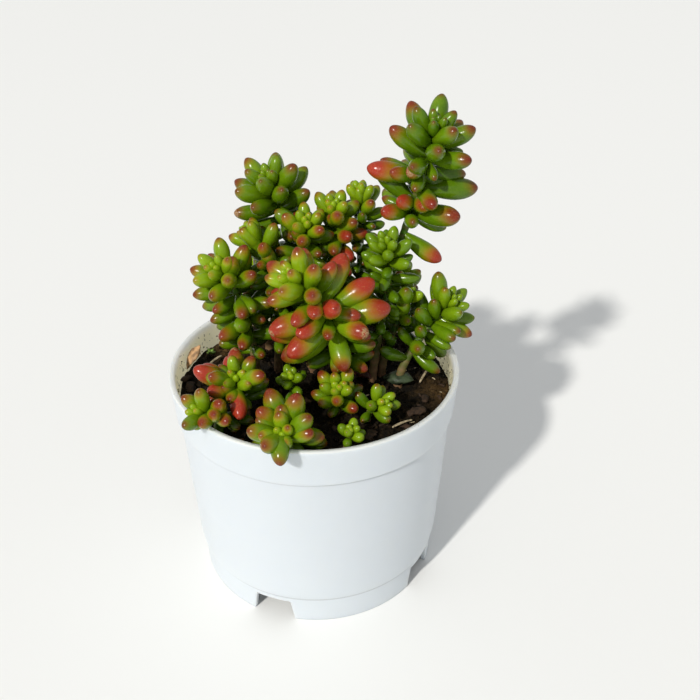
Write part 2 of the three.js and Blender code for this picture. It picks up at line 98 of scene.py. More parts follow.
# Its faces. Columns within NOTCH_COLUMNS degrees of a notch's middle are drawn together to its width, and
# the next ones give way as far as NOTCH_EASE. A rounding takes at most a share of each side that it joins.
# TOLERANCE is for finding vertices by their place.
NOTCH_COLUMNS = 10
NOTCH_EASE = 16
ROUNDING_SHARE = 0.45
ROUNDING_STEPS = 4
TOLERANCE = 0.1

# The soil's stain on the inner wall fades upwards and would end above the rim. The lip has a trace of it.
STAIN_TOP = POT_HEIGHT + 1.5
STAIN_BOTTOM = SEAM_HEIGHT + 4
LIP_FROM = POT_HEIGHT - 0.5
LIP_STAIN = 0.12
MOULD_RING_WIDTH = 1.6

# Soil, as its solid has it
CLEARANCE = 0.3
SOIL_EDGE = 64.5
SOIL_CROWN = 1.6
SOIL_LUMP = 0.5
LUMPS_ACROSS = 0.35
LUMPS_ALONG = 0.3
ROOT_DEPTH = 10

# Its surface in the scene: columns and rings of faces, the height and width of its lumps, large to small,
# and where it is dry. Then the crumbs: how much their sizes vary, and how far up the wall some stick.
SOIL_COLUMNS = 240
SOIL_STEP = 0.7
LUMP_LAYERS = ((0.8, 6), (0.6, 2.3), (0.35, 0.9))
DRY_PATCHES = (((38.5, -4), 6.5), ((-30, 22), 9))
CRUMB_KINDS = 24
CRUMB_SPREAD = 0.42
WALL_CRUMBS = 90
WALL_CRUMBS_REACH = 3.2

# Litter that lies on the soil: middle, length and turn of the bark chips that stand out
BARK_CHIPS = (
    ((-41, 1), 4.5, 70), ((-39, -3), 5, 100), ((-38.5, -8.5), 4, 40), ((-34, -14), 4.5, 15),
    ((31, -17), 6, 20), ((27, -23), 5, 150), ((34, -10), 4.5, 80), ((17, -28), 5, 60), ((2, -36), 4, 170),
)
# Straws, from one end to the other
STRAWS = (
    ((23.3, -25.2, 66.6), (29.4, -22.4, 67.4)), ((19, -31, 66.2), (24, -33, 66.8)),
    ((-35, 8, 66.4), (-31, 13, 67.2)), ((33, -1, 66), (36, 5, 67)), ((13, -12, 66.4), (17, -9, 67)),
)
# Shed leaves, from neck to tip, with their width, thickness and finish
SHED_LEAVES = (
    ((-41.4, 5.5, 66.6), (-37.2, 10.4, 73), 4.2, 1.2, "faded_leaf"),
    # The old grey-green leaf under the stems, darkened as painted shade
    ((21, 0, 67.4), (31, -3, 68.2), 6.5, 3.2, "shade_painted_leaf"),
    ((12, 6, 67.6), (17.5, -2, 68.4), 5.2, 4, "dark_red_leaf"),
    ((-22, -33, 67), (-19, -37, 70.5), 3.4, 0.8, "husk"),
    ((29, -29, 66.8), (35, -24, 67.4), 4, 1.6, "husk"),
)
SEEDLING = (-35.2, 16.4)
LITTER_REACH = 40

# How round the ends of a chip or a straw are, from 0 for square ends to 1 for a ball's
CHIP_ROUNDNESS = 0.35

# Stems and leaves: the rule by which the plant grows
STEM_RADIUS = 1.7
STEM_TIP_RADIUS = 0.9
FOOT_RUN = 0.35
TIP_RUN = 0.35
LOWEST_LEAF = 3
LEAF_GAP = 0.5
SEED = 20
NECK = 0.35
BELLY = 0.62
TIP_FULLNESS = 2.1
TIP_ROUNDNESS = 0.58
GOLDEN_ANGLE = 137.5
BUD_LENGTH = 5
BUD_EXTRA_WIDTH = 0.03
FULL_BUD_AT = 9
FULL_SIZE_AGE = 0.55
DEPTH_CURVE = 1.2
HEART_TILT = 16
EDGE_TILT = 80
TILT_CURVE = 0.75
ROSETTE_BEND = 16
BELOW_SPACING = 2.8
BELOW_BEND = 20
GROWN_BEND = 14
GROWN_EXTRA_WIDTH = 0.01
HANGING_BEND = -80

# The limits of chance: for a rosette's leaf the share of its length and the change of its tilt and side,
# and the same for the leaves below, whose tilt is all chance. Chance draws whole numbers in turn, each
# the last one times the multiplier, and the modulus keeps them in range.
LENGTHS = (0.94, 1.06)
TILTS = (-4, 4)
SIDES = (-5, 5)
BELOW_LENGTHS = (0.85, 1.1)
BELOW_TILTS = (88, 112)
BELOW_SIDES = (-12, 12)
MULTIPLIER = 16807
MODULUS = 2147483647

# Smaller leaves that fill the gaps between these, all the way down the stems. Pairs are the values at the
# rosette's heart and under it, or the limits of chance.
FILLERS_FROM = 3
FILLERS_DOWN_TO = 77
FILLERS_REACH = 9
FILLER_STEP = 1.3
FILLER_GAP = 0.05
FILLER_TURN = 60
FILLER_TILT = (50, 95)
FILLER_TILTS = (-10, 10)
FILLER_LENGTH = (0.55, 0.95)
FILLER_LENGTHS = (0.8, 1.05)
FILLER_PLUMPNESS = 1.03
FILLER_BLUSH = 0.7

# How young the leaves that stand out and the fillers look, and how far chance changes a leaf's blush and
# youth
GROWN_YOUTH = 0.25
FILLER_YOUTH = 0.5
BLUSH_SPREAD = 0.13
YOUTH_SPREAD = 0.15

# Where along a leaf the balls lie that test what it touches: all of it, its outer part and its inner part.
# A stem has such a ball every so often, and all are sorted into boxes.
LEAF_PARTS = (0.15, 0.3, 0.45, 0.6, 0.75, 0.9)
OUTER_PARTS = (0.6, 0.75, 0.9)
INNER_PARTS = (0.3, 0.45)
STEM_BALL_STEP = 2
ROOM_BOX = 10

# Leaves under one length have fewer faces, and those over the other may have a corky tip
SMALL_LEAF = 6.5
LARGE_LEAF = 11.5
FEWER_FACES = 6
LEAF_NUMBERS = ("along", "blush", "youth", "sunny", "scar", "shade")
STEM_SIDES = 14
STEM_STEP = 0.7

# Where the sun stood while the leaves coloured, near the key light, and how far and by how many leaves a
# leaf is shaded
# The leaf finish paints a shaded leaf's green darker as painted shade, and the side that faces the sun a
# lighter green as painted light
SUNWARD = Vector((-0.50, -0.55, 0.67)).normalized()
SHADE_REACH = 26
SHADE_WIDTH = 0.8
SHADED_BY = 3
SHADE_PALES = 0.12
SHADE_PARTS = (0.4, 0.8)
SHADE_MIDDLE = 0.75

# Lights, camera and floor. The eye's place is in metres from the pot's axis at the ground, and the floor
# reaches as many metres.
LIGHT_FROM = Vector((-0.43, -0.66, 0.61))
LIGHT_COLOUR = (1.0, 0.975, 0.93)
SKY_COLOUR = (0.95, 0.975, 1.0, 1)
EYE = Vector((0.01101, -0.235633, 0.226519))
EYE_TILT = 57.69
SENSOR_WIDTH = 36
FLOOR_REACH = 4

# Each stem has its foot on the soil, its tip, and the lean of the tip: degrees from upright, and the side
# it leans to, 0 for +X and 90 for +Y. Its rosette has so many leaves within a depth below the tip, turned
# from phase in a spiral of either hand; so many more follow below. plump is a leaf's half width as a share
# of its length, and blush is how red its leaves are.
STEM_COLUMNS = (
    "name", "foot", "tip", "lean", "side", "leaves", "length", "depth", "phase", "hand", "plump", "below",
    "blush")
STEM_ROWS = (
    ("stem_centre", (10, -6), (-4.5, -15, 110), 42, 200, 16, 12.5, 8, 150, -1, 0.192, 4, 0.55),
    ("stem_tall", (19, 8), (34, 2, 146.5), 20, 290, 18, 13.5, 11, 60, 1, 0.178, 3, 0.38),
    ("stem_front", (-6, -30), (-7.5, -41, 75.5), 42, 262, 13, 10.5, 6, 350, 1, 0.205, 2, 0.4),
    ("stem_front_left", (-20, -18), (-22, -21, 80.5), 35, 280, 12, 10, 7, 290, -1, 0.188, 1, 0.45),
    ("stem_right", (26, -2), (41.5, 4, 91.5), 35, 320, 15, 11.5, 10, 160, -1, 0.175, 4, 0.2),
    ("stem_left", (-18, -2), (-27, -2, 106), 45, 235, 17, 12, 9, 105, -1, 0.185, 4, 0.47),
    ("stem_bright", (18, 0), (21.5, 1, 112), 30, 240, 17, 9.5, 9, 160, -1, 0.185, 4, -0.4),
    ("stem_upper_left", (-4, 16), (-13.5, 20, 124.5), 25, 235, 19, 14, 10, 150, -1, 0.178, 4, 0.32),
    ("sprout_middle", (-6, -12), (-6.5, -14, 77), 30, 270, 10, 5.5, 5, 145, 1, 0.27, 0, -0.3),
    ("sprout_front", (10, -33), (11.5, -34, 72), 35, 255, 10, 5.2, 5, 275, -1, 0.27, 0, -0.1),
    ("stem_front_right", (16, -20), (20, -22, 73), 60, 310, 12, 7.6, 5, 100, -1, 0.22, 2, 0.25),
    ("stem_front_middle", (8, -17), (7.5, -20, 76.5), 35, 275, 16, 8.8, 7, 295, -1, 0.215, 3, 0.45),
    ("stem_rim_left", (-25, -20), (-30.5, -31.5, 76.5), 45, 215, 13, 9.4, 7, 100, -1, 0.2, 3, 0.45),
    ("stem_top_left", (-1, 6), (-2, 8.5, 115.5), 30, 280, 16, 10, 8, 200, -1, 0.195, 3, 0.45),
    ("stem_top_middle", (5, 14), (6, 13.5, 118), 25, 260, 19, 10.6, 9, 305, -1, 0.195, 3, 0.45),
    ("stem_shoulder", (-12, 6), (-18, 8, 112), 45, 160, 17, 10.4, 9, 275, -1, 0.19, 2, 0.45),
    ("stem_top_right", (13, 20), (14, 19, 120.5), 10, 110, 16, 8.8, 8, 10, 1, 0.2, 4, 0.35),
    ("stem_shaded", (21, 4), (29, 6, 93), 25, 300, 10, 11, 10, 40, 1, 0.19, 3, 0.2),
    ("stem_back_left", (-16, 20), (-20, 24, 93), 20, 110, 13, 10, 8, 40, 1, 0.2, 2, 0.3),
    ("stem_back", (3, 26), (5, 30, 92), 20, 80, 12, 10, 8, 80, -1, 0.2, 2, 0.35),
    ("stem_back_right", (23, 20), (28, 24, 91), 25, 30, 12, 10, 8, 150, 1, 0.2, 2, 0.3),
    ("stem_far_left", (-7, 31), (-9, 34, 90), 25, 110, 11, 8.7, 7, 100, 1, 0.2, 2, 0.3),
    ("stem_between", (-9, 11), (-12, 11.5, 107), 30, 250, 13, 10.5, 8, 30, 1, 0.19, 2, 0.45),
)
# What only some stems have. run is how far the lean reaches back from the tip, as a share of the stem. bare
# is the height under which the stem shows between its leaves, and fresh is how far its young leaves are
# yellow-green. hanging is a leaf that droops over the rim.
STEM_EXTRAS = {
    "stem_centre": dict(run=0.4, fresh=1.4),
    "stem_tall": dict(run=0.3, bare=117, fresh=0),
    "stem_front": dict(hanging=(1, 276, 18, 12, 0.3)),
    "stem_right": dict(fresh=0.6),
    "stem_left": dict(fresh=1.1),
    "stem_bright": dict(fresh=0.5),
    "stem_upper_left": dict(fresh=0.35),
}
# The leaves that stand out on a stem, and the one that hangs: distance below the tip, side, tilt from the
# stem, length, blush
LEAF_COLUMNS = ("below", "side", "tilt", "length", "blush")
GROWN = {
    "stem_centre": (
        (8, 285, 80, 12, 0.7), (11, 40, 74, 16.5, 0.75), (14, 20, 95, 17, 0.7), (16, 0, 108, 18.5, 0.5),
        (17, 320, 100, 15, 0.45), (19, 275, 130, 15, 0.5), (12, 310, 70, 14, 0.8),
        (17, 225, 92, 17, 0.78), (14, 245, 75, 14, 0.78), (13, 205, 80, 17, 0.78),
        (17, 190, 88, 18, 0.55), (22, 205, 95, 18, 0.4)),
    "stem_tall": (
        (16, 180, 100, 16, 0.7), (25, 165, 70, 15, 0.6), (16, 210, 85, 12, 0.6), (12, 240, 85, 12, 0.6),
        (28, 222, 88, 13, 0.62), (25, 240, 76, 12.5, 0.68), (25, 278, 70, 12.5, 0.5),
        (30, 268, 78, 11, 0.3), (16, 12, 112, 14, 0.2), (20, 0, 85, 17, 0.45), (28, 318, 74, 17, 0.5),
        (36, 345, 115, 14, 0.7)),
    "stem_front": (
        (5, 70, 76, 14, 0.35), (6, 90, 55, 12, 0.4), (7, 0, 76, 12, 0.25), (1, 230, 38, 12, 0.35),
        (7, 130, 60, 13, 0.4), (3, 35, 66, 12, 0.25), (3, 180, 54, 12, 0.4), (7, 110, 86, 14.5, 0.45)),
    "stem_front_left": (
        (4, 172, 60, 14, 0.8), (7, 148, 62, 14, 0.85), (6, 90, 55, 13, 0.7), (6, 108, 75, 12, 0.8),
        (2, 280, 88, 13, 1.05), (1, 350, 54, 12, 0.4), (1, 200, 46, 11, 0.55), (4, 228, 56, 12, 0.6),
        (5, 250, 44, 10, 0.6)),
    "stem_right": (
        (3, 165, 52, 13.5, 0.2), (6, 345, 85, 12, 0.35), (9, 300, 85, 12, 0.1), (9, 225, 85, 12, 0.1),
        (12, 30, 100, 13, 0.1), (16, 270, 100, 13, 0.15)),
    "stem_left": (
        (6, 345, 40, 12, 0.4), (9, 30, 55, 12, 0.4), (12, 180, 100, 12, 0.3), (12, 300, 100, 12, 0.1),
        (20, 270, 85, 13, 0)),
    "stem_rim_left": (
        (3, 130, 46, 10, 0.3), (1, 45, 46, 10, 0.3), (1, 270, 40, 10, 0.25), (3, 320, 46, 10, 0.35),
        (5, 335, 62, 10, 0.4), (4, 25, 58, 10.5, 0.45)),
    "stem_top_left": (
        (9, 165, 70, 12, 0.45), (12, 180, 72, 12.5, 0.4), (3, 165, 85, 13, 0.25), (6, 225, 55, 10, 0.5),
        (9, 150, 55, 10, 0.6), (6, 105, 70, 10, 0.5)),
    "stem_top_middle": (
        (9, 285, 70, 11, 0.6), (9, 270, 85, 11, 0.5), (12, 300, 100, 10.5, 0.7), (9, 240, 85, 10, 0.4)),
    "stem_shoulder": (
        (12, 285, 40, 11, 0.45), (9, 135, 70, 11, 0.4), (6, 225, 40, 12, 0.45)),
    "stem_shaded": (
        (4, 240, 40, 12.5, 0.2), (9, 255, 55, 12, 0.2), (19, 285, 100, 12, 0.3)),
    "stem_between": (
        (3, 315, 55, 11, 0.5), (6, 60, 40, 10, 0.5)),
}
STEMS = [
    dict(zip(STEM_COLUMNS, row), grown=GROWN.get(row[0], ()), **STEM_EXTRAS.get(row[0], {}))
    for row in STEM_ROWS]

# Ways that a leaf may grow aside when its own place is taken, tried in turn: change of tilt, change of
# side, share of its length.
WAYS_ASIDE = (
    (0, 0, 1), (-9, 0, 1), (9, 0, 1), (0, 14, 1), (0, -14, 1),
    (-12, 12, 0.92), (-12, -12, 0.92), (12, 12, 0.92), (12, -12, 0.92),
    (-22, 0, 0.88), (22, 0, 0.85), (0, 28, 0.85), (0, -28, 0.85),
    (-32, 10, 0.8), (-20, -30, 0.8), (-20, 30, 0.8),
    (0, 0, 0.7), (-30, 0, 0.7), (15, -30, 0.7), (15, 30, 0.7), (-10, 0, 0.55),
)


def colour(name, description, default):
    """A colour that the sidebar shows"""
    return FloatVectorProperty(
        name=name, description=description, default=default, size=3, subtype="COLOR", min=0, max=1)


def fraction(name, description, default):
    """A share from 0 to 1"""
    return FloatProperty(
        name=name, description=description, default=default, min=0, max=1, subtype="FACTOR")


def distance(name, description, millimetres):
    """A small length, kept in metres"""
    return FloatProperty(
        name=name, description=description, default=millimetres * MM, min=0, unit="LENGTH", precision=5)


def count(name, description, default, least=0):
    """A whole number, not under the least"""
    return IntProperty(name=name, description=description, default=default, min=least)


class PotSettings(PropertyGroup):
    """Sizes and finish of the nursery pot"""

    lip_round: distance("Lip rounding", "Radius of the rim's rounded edges", 0.6)
    edge_round: distance("Edge rounding", "Radius of the band's, the seam's and the foot's edges", 0.3)
    mould_ring: distance("Mould ring", "How far the faint ring round the body stands out", 0.12)
    ring_height: distance("Ring height", "Height of the mould ring above the ground", 35)
    columns: count("Columns", "Columns of faces round the pot, one a degree or more", 360, 360)
    plastic: colour("Plastic", "Colour of the white plastic", (0.63, 0.675, 0.71))
    film: colour("Film", "Colour of the stain that damp soil left on the inner wall", (0.86, 0.70, 0.36))
    grime: colour("Grime", "Colour of the soil marks inside the rim", (0.20, 0.15, 0.08))
    gloss: fraction("Roughness", "Roughness of the plastic", 0.36)
    glow: distance("Glow", "How deep light goes into the plastic", 3)
    wall_glow: distance("Wall glow", "The same for the thin wall over the soil, lit from outside", 16)


class SoilSettings(PropertyGroup):
    """Lumps, crumbs and colours of the soil"""

    lump: distance("Lumps", "Height of the lumps on the soil's surface", 1.0)
    crumb: distance("Crumb", "Radius of a usual crumb", 0.55)
    crumbs: count("Crumbs", "Loose crumbs on the surface", 2600)
    seed: count("Seed", "Seed of the crumbs' places", 7)
    dark: colour("Dark", "Colour of the damp soil", (0.0050, 0.0034, 0.0012))
    light: colour("Light", "Colour of the dry crumbs", (0.090, 0.051, 0.017))


class PlantSettings(PropertyGroup):
    """Finish of the stems and leaves"""

    sides: count("Sides", "Faces round a leaf", 22, FEWER_FACES + 6)
    rings: count("Rings", "Faces along a leaf", 18, FEWER_FACES + 6)
    dent: fraction("Dents", "Unevenness of a leaf's skin, as a share of its width", 0.035)
    deep: colour("Deep green", "Colour of the older leaves", (0.052, 0.135, 0.001))
    # shaded is painted shade: the dark green mixed into a leaf the more other leaves stand between it and
    # the sun
    shaded: colour("Shaded green", "Colour of the leaves that others shade", (0.016, 0.052, 0.001))
    fresh: colour("Fresh green", "Colour of the young leaves", (0.245, 0.375, 0.006))
    amber: colour("Amber", "Colour between the green and the red of a leaf", (0.33, 0.20, 0.004))
    russet: colour("Russet", "The same in a leaf that hardly blushes", (0.135, 0.085, 0.003))
    red: colour("Red", "Colour of a green leaf's tip", (0.135, 0.020, 0.005))
    rose: colour("Rose", "Colour of the sunned side of the reddest leaves", (0.345, 0.032, 0.014))
    dark_tip: colour("Dark tip", "Colour of the point of a leaf", (0.110, 0.014, 0.005))
    scar: colour("Scar", "Colour of a corky leaf tip", (0.34, 0.21, 0.10))
    scarred: fraction("Scarred", "Share of the large leaves that have a corky tip", 0.06)
    bark: colour("Old stem", "Colour of a stem near the soil", (0.16, 0.085, 0.040))


class LitterSettings(PropertyGroup):
    """Loose litter on the soil"""

    chips: count("Small chips", "Chips besides the large ones", 46)
    bits: count("Bits", "Short bits of straw", 34)
    seed: count("Seed", "Seed of the litter's places", 11)
    bark: colour("Bark", "Colour of the bark chips", (0.052, 0.028, 0.014))
    straw: colour("Straw", "Colour of the straws", (0.52, 0.42, 0.26))
    faded: colour("Faded leaf", "Colour of the shrivelled leaf", (0.62, 0.36, 0.17))
    # shaded is the old leaf's grey-green, darkened as painted shade where it lies under the stems
    shaded: colour("Shaded leaf", "Colour of the old leaf in the shade", (0.055, 0.080, 0.038))
    dark_red: colour("Dark red leaf", "Colour of the shed red leaf", (0.085, 0.020, 0.012))
    husk: colour("Husk", "Colour of the dried husks", (0.17, 0.058, 0.026))
    sprout: colour("Seedling", "Colour of the tiny seedling", (0.22, 0.37, 0.06))


class StageSettings(PropertyGroup):
    """Floor, lights and camera"""

    floor: colour("Floor", "Colour of the plain floor", (0.86, 0.86, 0.84))
    key: FloatProperty(name="Key light", description="Strength of the key light", default=2.85, min=0)
    softness: FloatProperty(
        name="Softness", description="Width of the key light", default=math.radians(3), subtype="ANGLE")
    sky: FloatProperty(name="Sky", description="Strength of the light all round", default=0.54, min=0)
    lens: FloatProperty(
        name="Lens", description="Focal length of the camera in millimetres", default=46.29, unit="CAMERA")


def lerp(a, b, t):
    """The value between a and b at share t"""
    return (1 - t) * a + t * b


def ease(t):
    """A share that starts and ends gently"""
    return t * t * (3 - 2 * t)


def clamp(value, low=0, high=1):
    """The value, kept between two limits"""
    return max(low, min(high, value))


def polar(out, turn):
    """A place so far out from the pot's axis, at a turn from +X"""
    return out * math.cos(turn), out * math.sin(turn)


def at_azimuth(azimuth, out):
    """A place so far out from the pot's axis, at an azimuth in degrees from the front"""
    turn = math.radians(azimuth)
    return Vector((out * math.sin(turn), -out * math.cos(turn)))


def strewn(draw, reach):
    """A place by chance, no farther out than reach"""
    return polar(reach * math.sqrt(draw.random()), draw.uniform(0, math.tau))


class Link:
    """An output of a node, on which arithmetic adds Math nodes"""

    def __init__(self, finish, socket):
        self.finish = finish
        self.socket = socket

    def maths(self, operation, *values):
        node = self.finish.add("Math", {"operation": operation}, dict(enumerate(values)))
        return Link(self.finish, node.outputs[0])

    def __add__(self, other):
        return self.maths("ADD", self, other)

    def __sub__(self, other):
        return self.maths("SUBTRACT", self, other)

    def __mul__(self, other):
        return self.maths("MULTIPLY", self, other)

    def __rsub__(self, other):
        return self.maths("SUBTRACT", other, self)

    __radd__ = __add__
    __rmul__ = __mul__


class Finish:
    """A material under construction"""

    def __init__(self, name, **constants):
        self.material = bpy.data.materials.new(name)
        self.material.use_nodes = True
        self.tree = self.material.node_tree
        self.tree.nodes.clear()
        self.shader = self.add("BsdfPrincipled", {}, {})
        self.finish(**constants)
        output = self.add("OutputMaterial", {}, {})
        self.tree.links.new(self.shader.outputs[0], output.inputs["Surface"])
        self.place = self.output("TexCoord", {}, {}, "Object")

    def add(self, kind, settings, inputs):
        """Any node: its type, its settings, and the values or links of its sockets"""
        node = self.tree.nodes.new("ShaderNode" + kind)
        for name, value in settings.items():
            setattr(node, name, value)
        for name, value in inputs.items():
            self.set(node.inputs[name], value)
        return node

    def set(self, socket, value):
        """Gives a socket a link or a value"""
        if isinstance(value, Link):
            self.tree.links.new(value.socket, socket)
        elif socket.type == "RGBA":
            socket.default_value = (*value[:3], 1)
        else:
            socket.default_value = value

    def output(self, kind, settings, inputs, name=0):
        """An output of a new node"""
        return Link(self, self.add(kind, settings, inputs).outputs[name])

    def noise(self, size, detail=2):
        """Noise from 0 to 1 whose grains are about so many millimetres across"""
        inputs = {"Vector": self.place, "Scale": 1 / (size * MM), "Detail": detail}
        return self.output("TexNoise", {}, inputs)

    def attribute(self, name):
        """A number kept on the mesh's vertices"""
        return self.output("Attribute", {"attribute_name": name}, {}, "Fac")

    def between(self, value, low, high):
        """0 where the value is under low, 1 over high, and a smooth way between"""
        inputs = {"Value": value, "From Min": low, "From Max": high}
        return self.output("MapRange", {"interpolation_type": "SMOOTHSTEP"}, inputs)

    def mixed(self, factor, a, b):
        """Two colours mixed"""
        return self.output("Mix", {"data_type": "RGBA"}, {0: factor, 6: a, 7: b}, 2)

    def bump(self, height, depth):
        """A relief so many millimetres deep, from a height of 0 to 1"""
        return self.output("Bump", {}, {"Height": height, "Distance": depth * MM})

    def finish(self, **inputs):
        """Gives the shader its values and links, and returns the material"""
        for name, value in inputs.items():
            self.set(self.shader.inputs[name.replace("_", " ")], value)
        return self.material


def pot_plastic(settings, name, glow):
    """White plastic, softly glossy, with soil marks inside the rim and painted shade lines under the seam
    and the band's step. Light goes glow deep into it.
    """
    made = Finish(
        name, IOR=1.46, Subsurface_Weight=0.8, Subsurface_Scale=glow, Subsurface_Radius=(1.0, 0.95, 0.85))
    height = made.output("SeparateXYZ", {}, {"Vector": made.place}, "Z")
    soiled = made.attribute("soiled")
    film = made.between(made.noise(9, 5) + soiled * 0.3, 0.2, 0.55) * made.between(soiled, 0, 0.5)
    grime = made.between(made.noise(1.3, 4) + soiled * 0.09, 0.66, 0.72) * made.between(soiled, 0, 0.3)
    base = made.mixed(made.noise(40, 2) * 0.12, settings.plastic, (0.59, 0.64, 0.67))
    base = made.mixed(film * 0.9, base, settings.film)
    # Painted shade: a thin grey line just under the seam and under the band's step, where the step above
    # would cast its shadow
    seam_shade_lines = sum(made.between(height, (low - 1.4) * MM, (low - 0.6) * MM)
                * made.between(height, low * MM, (low - 0.2) * MM) for low in (SEAM_HEIGHT, BAND_BOTTOM))
    base = made.mixed(seam_shade_lines * 0.6, base, (0.36, 0.38, 0.39))
    relief = made.noise(0.35, 2) * 0.25 + made.noise(6, 2)
    scuffs = made.between(made.noise(2.2, 5), 0.58, 0.78)
    low = made.between(height, 0.012, 0.0)
    return made.finish(
        Base_Color=made.mixed(grime, base, settings.grime),
        Roughness=settings.gloss + scuffs * 0.10 + low * 0.06 + grime * 0.4,
        Normal=made.bump(relief, 0.035))


def crumbly_soil(settings):
    """Dark crumbly soil with dry, paler crumbs"""
    made = Finish("crumbly_soil", Specular_IOR_Level=0.16)
    grain = made.noise(1.4, 6)
    patch = made.noise(14, 3)
    dry = made.between(grain * 0.6 + patch * 0.4, 0.46, 0.68)
    dry = dry * 0.22 + made.attribute("dry") * 0.95
    fibre = made.between(made.noise(0.5, 3), 0.66, 0.74)
    base = made.mixed(dry, settings.dark, settings.light)
    return made.finish(
        Base_Color=made.mixed(fibre * 0.35, base, (0.30, 0.21, 0.13)),
        Roughness=0.98 - made.between(patch, 0.62, 0.4) * 0.22,
        Normal=made.bump(made.noise(0.6, 5), 0.55))


def waxy_leaf(settings):
    """A plump leaf: green at its neck, then through amber to a red tip with a dark point. Its green is
    painted lighter on the side facing the sun and painted darker where other leaves shade it.
    """
    made = Finish(
        "waxy_leaf", IOR=1.42, Specular_IOR_Level=0.42, Subsurface_Weight=0.12, Subsurface_Scale=0.0014,
        Subsurface_Radius=(0.9, 0.8, 0.15))
    along = made.attribute("along")
    blush = made.attribute("blush")
    sunny = made.attribute("sunny")
    youth = made.attribute("youth")
    shade = made.attribute("shade")
    blotch = made.noise(2.6, 3) - 0.5
    speck = made.noise(0.45, 3)
    # Painted light: the side facing the sun is mixed further towards the fresh green, so it reads lighter;
    # the same side also blushes redder below
    green = made.mixed(youth * 0.85 + blotch * 0.5 + sunny * 0.3, settings.deep, settings.fresh)
    # Painted shade: leaves that others hide from the sun are mixed towards the dark shaded green
    green = made.mixed(shade * 0.42, green, settings.shaded)
    warmth = along + (blush - 0.3) * 0.42 + (sunny - 0.5) * blush * 0.5 + blotch * 0.12
    spread = made.between(blush, 0.1, 0.8) * 0.14 + 0.12
    to_amber = made.between(warmth, 0.93 - spread, 0.93 + spread * 0.6)
    to_red = made.between(warmth + (speck - 0.5) * 0.08, 0.99 - spread * 0.7, 0.99 + spread * 0.6)
    point = made.between(along + (speck - 0.5) * 0.03, 0.972, 0.998)
    amber = made.mixed(made.between(blush + youth * 0.5, 0.25, 0.65), settings.russet, settings.amber)
    skin = made.mixed(to_amber * 0.9, green, amber)
    red = made.mixed(made.between(blush, 0.25, 0.85), settings.red, settings.rose)
    skin = made.mixed(to_red, skin, red)
    grown_up = made.between(blush, -0.3, 0.2) * made.between(youth, 0.85, 0.5)
    skin = made.mixed(point * grown_up * 0.55, skin, settings.dark_tip)
    pale = made.between(speck, 0.56, 0.70) * (to_red * 0.14 + 0.06)
    skin = made.mixed(pale, skin, (0.55, 0.32, 0.12))
    corky = made.attribute("scar") * made.between(speck, 0.4, 0.5)
    scarred = corky * made.between(along + blotch * 0.3, 0.93, 0.97)
    return made.finish(
        Base_Color=made.mixed(scarred, skin, settings.scar),
        Roughness=0.16 + made.noise(1.8, 3) * 0.14 + scarred * 0.4,
        Normal=made.bump(made.noise(0.7, 3) * 0.6 + made.noise(2.4, 2), 0.08))


def fleshy_stem(settings):
    """A stem: fresh near its tip, brown and ringed by leaf scars near the soil"""
    made = Finish("fleshy_stem", IOR=1.42, Subsurface_Weight=0.1, Subsurface_Scale=0.001)
    along = made.attribute("along")
    old = made.between(along + (made.noise(2, 3) - 0.5) * 0.3, 0.5, 0.02)
    rings = made.attribute("scar")
    base = made.mixed(old, settings.deep, settings.bark)
    return made.finish(
        Base_Color=made.mixed(rings * 0.5, base, (0.26, 0.15, 0.07)),
        Roughness=0.5 + old * 0.3,
        Normal=made.bump(made.noise(0.5, 4), 0.15))


def litter_finish(name, shade, grain, roughness):
    """Bark, straw or a shed leaf, mottled with a darker shade of its colour"""
    made = Finish(name, Specular_IOR_Level=0.35)
    mottled = made.between(made.noise(grain, 4), 0.36, 0.64)
    return made.finish(
        Base_Color=made.mixed(mottled, [0.4 * value for value in shade], shade),
        Roughness=roughness + mottled * 0.15,
        Normal=made.bump(made.noise(grain * 0.5, 4), 0.25))


def meshed(bm, name):
    """The mesh of a bmesh that isn't needed any more"""
    mesh = bpy.data.meshes.new(name)
    bm.to_mesh(mesh)
    bm.free()
    return mesh


def finished(bm, name, materials, node=None):
    """A bmesh in millimetres round the pot's axis as a piece of the plant, in metres"""
    bmesh.ops.scale(bm, vec=(MM, MM, MM), verts=bm.verts)
    bmesh.ops.translate(bm, vec=POT_AXIS, verts=bm.verts)
    for face in bm.faces:
        face.smooth = True
    mesh = meshed(bm, name)
    for material in materials:
        mesh.materials.append(material)
    piece = bpy.data.objects.new(name, mesh)
    bpy.context.scene.collection.objects.link(piece)
    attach(piece, BODY)
    if node:
        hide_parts(node)


def rounded(corners):
    """An outline through corners of (radius, height, rounding, longest step along the side that follows)"""
    points = []
    for i, (radius, height, turn, step) in enumerate(corners):
        following = corners[(i + 1) % len(corners)]
        corner = Vector((radius, height))
        before = Vector(corners[i - 1][:2]) - corner
        after = Vector(following[:2]) - corner
        start = corner + before.normalized() * min(turn, ROUNDING_SHARE * before.length)
        end = corner + after.normalized() * min(turn, ROUNDING_SHARE * after.length)
        arc = [corner]
        if turn:
            bends = [k / ROUNDING_STEPS for k in range(ROUNDING_STEPS + 1)]
            arc = [start.lerp(corner, t).lerp(corner.lerp(end, t), t) for t in bends]
        points += arc
        goal = Vector(following[:2])
        goal += (corner - goal).normalized() * min(following[2], ROUNDING_SHARE * after.length)
        pieces = max(1, math.ceil((goal - arc[-1]).length / step))
        points += [arc[-1].lerp(goal, k / pieces) for k in range(1, pieces)]
    return points


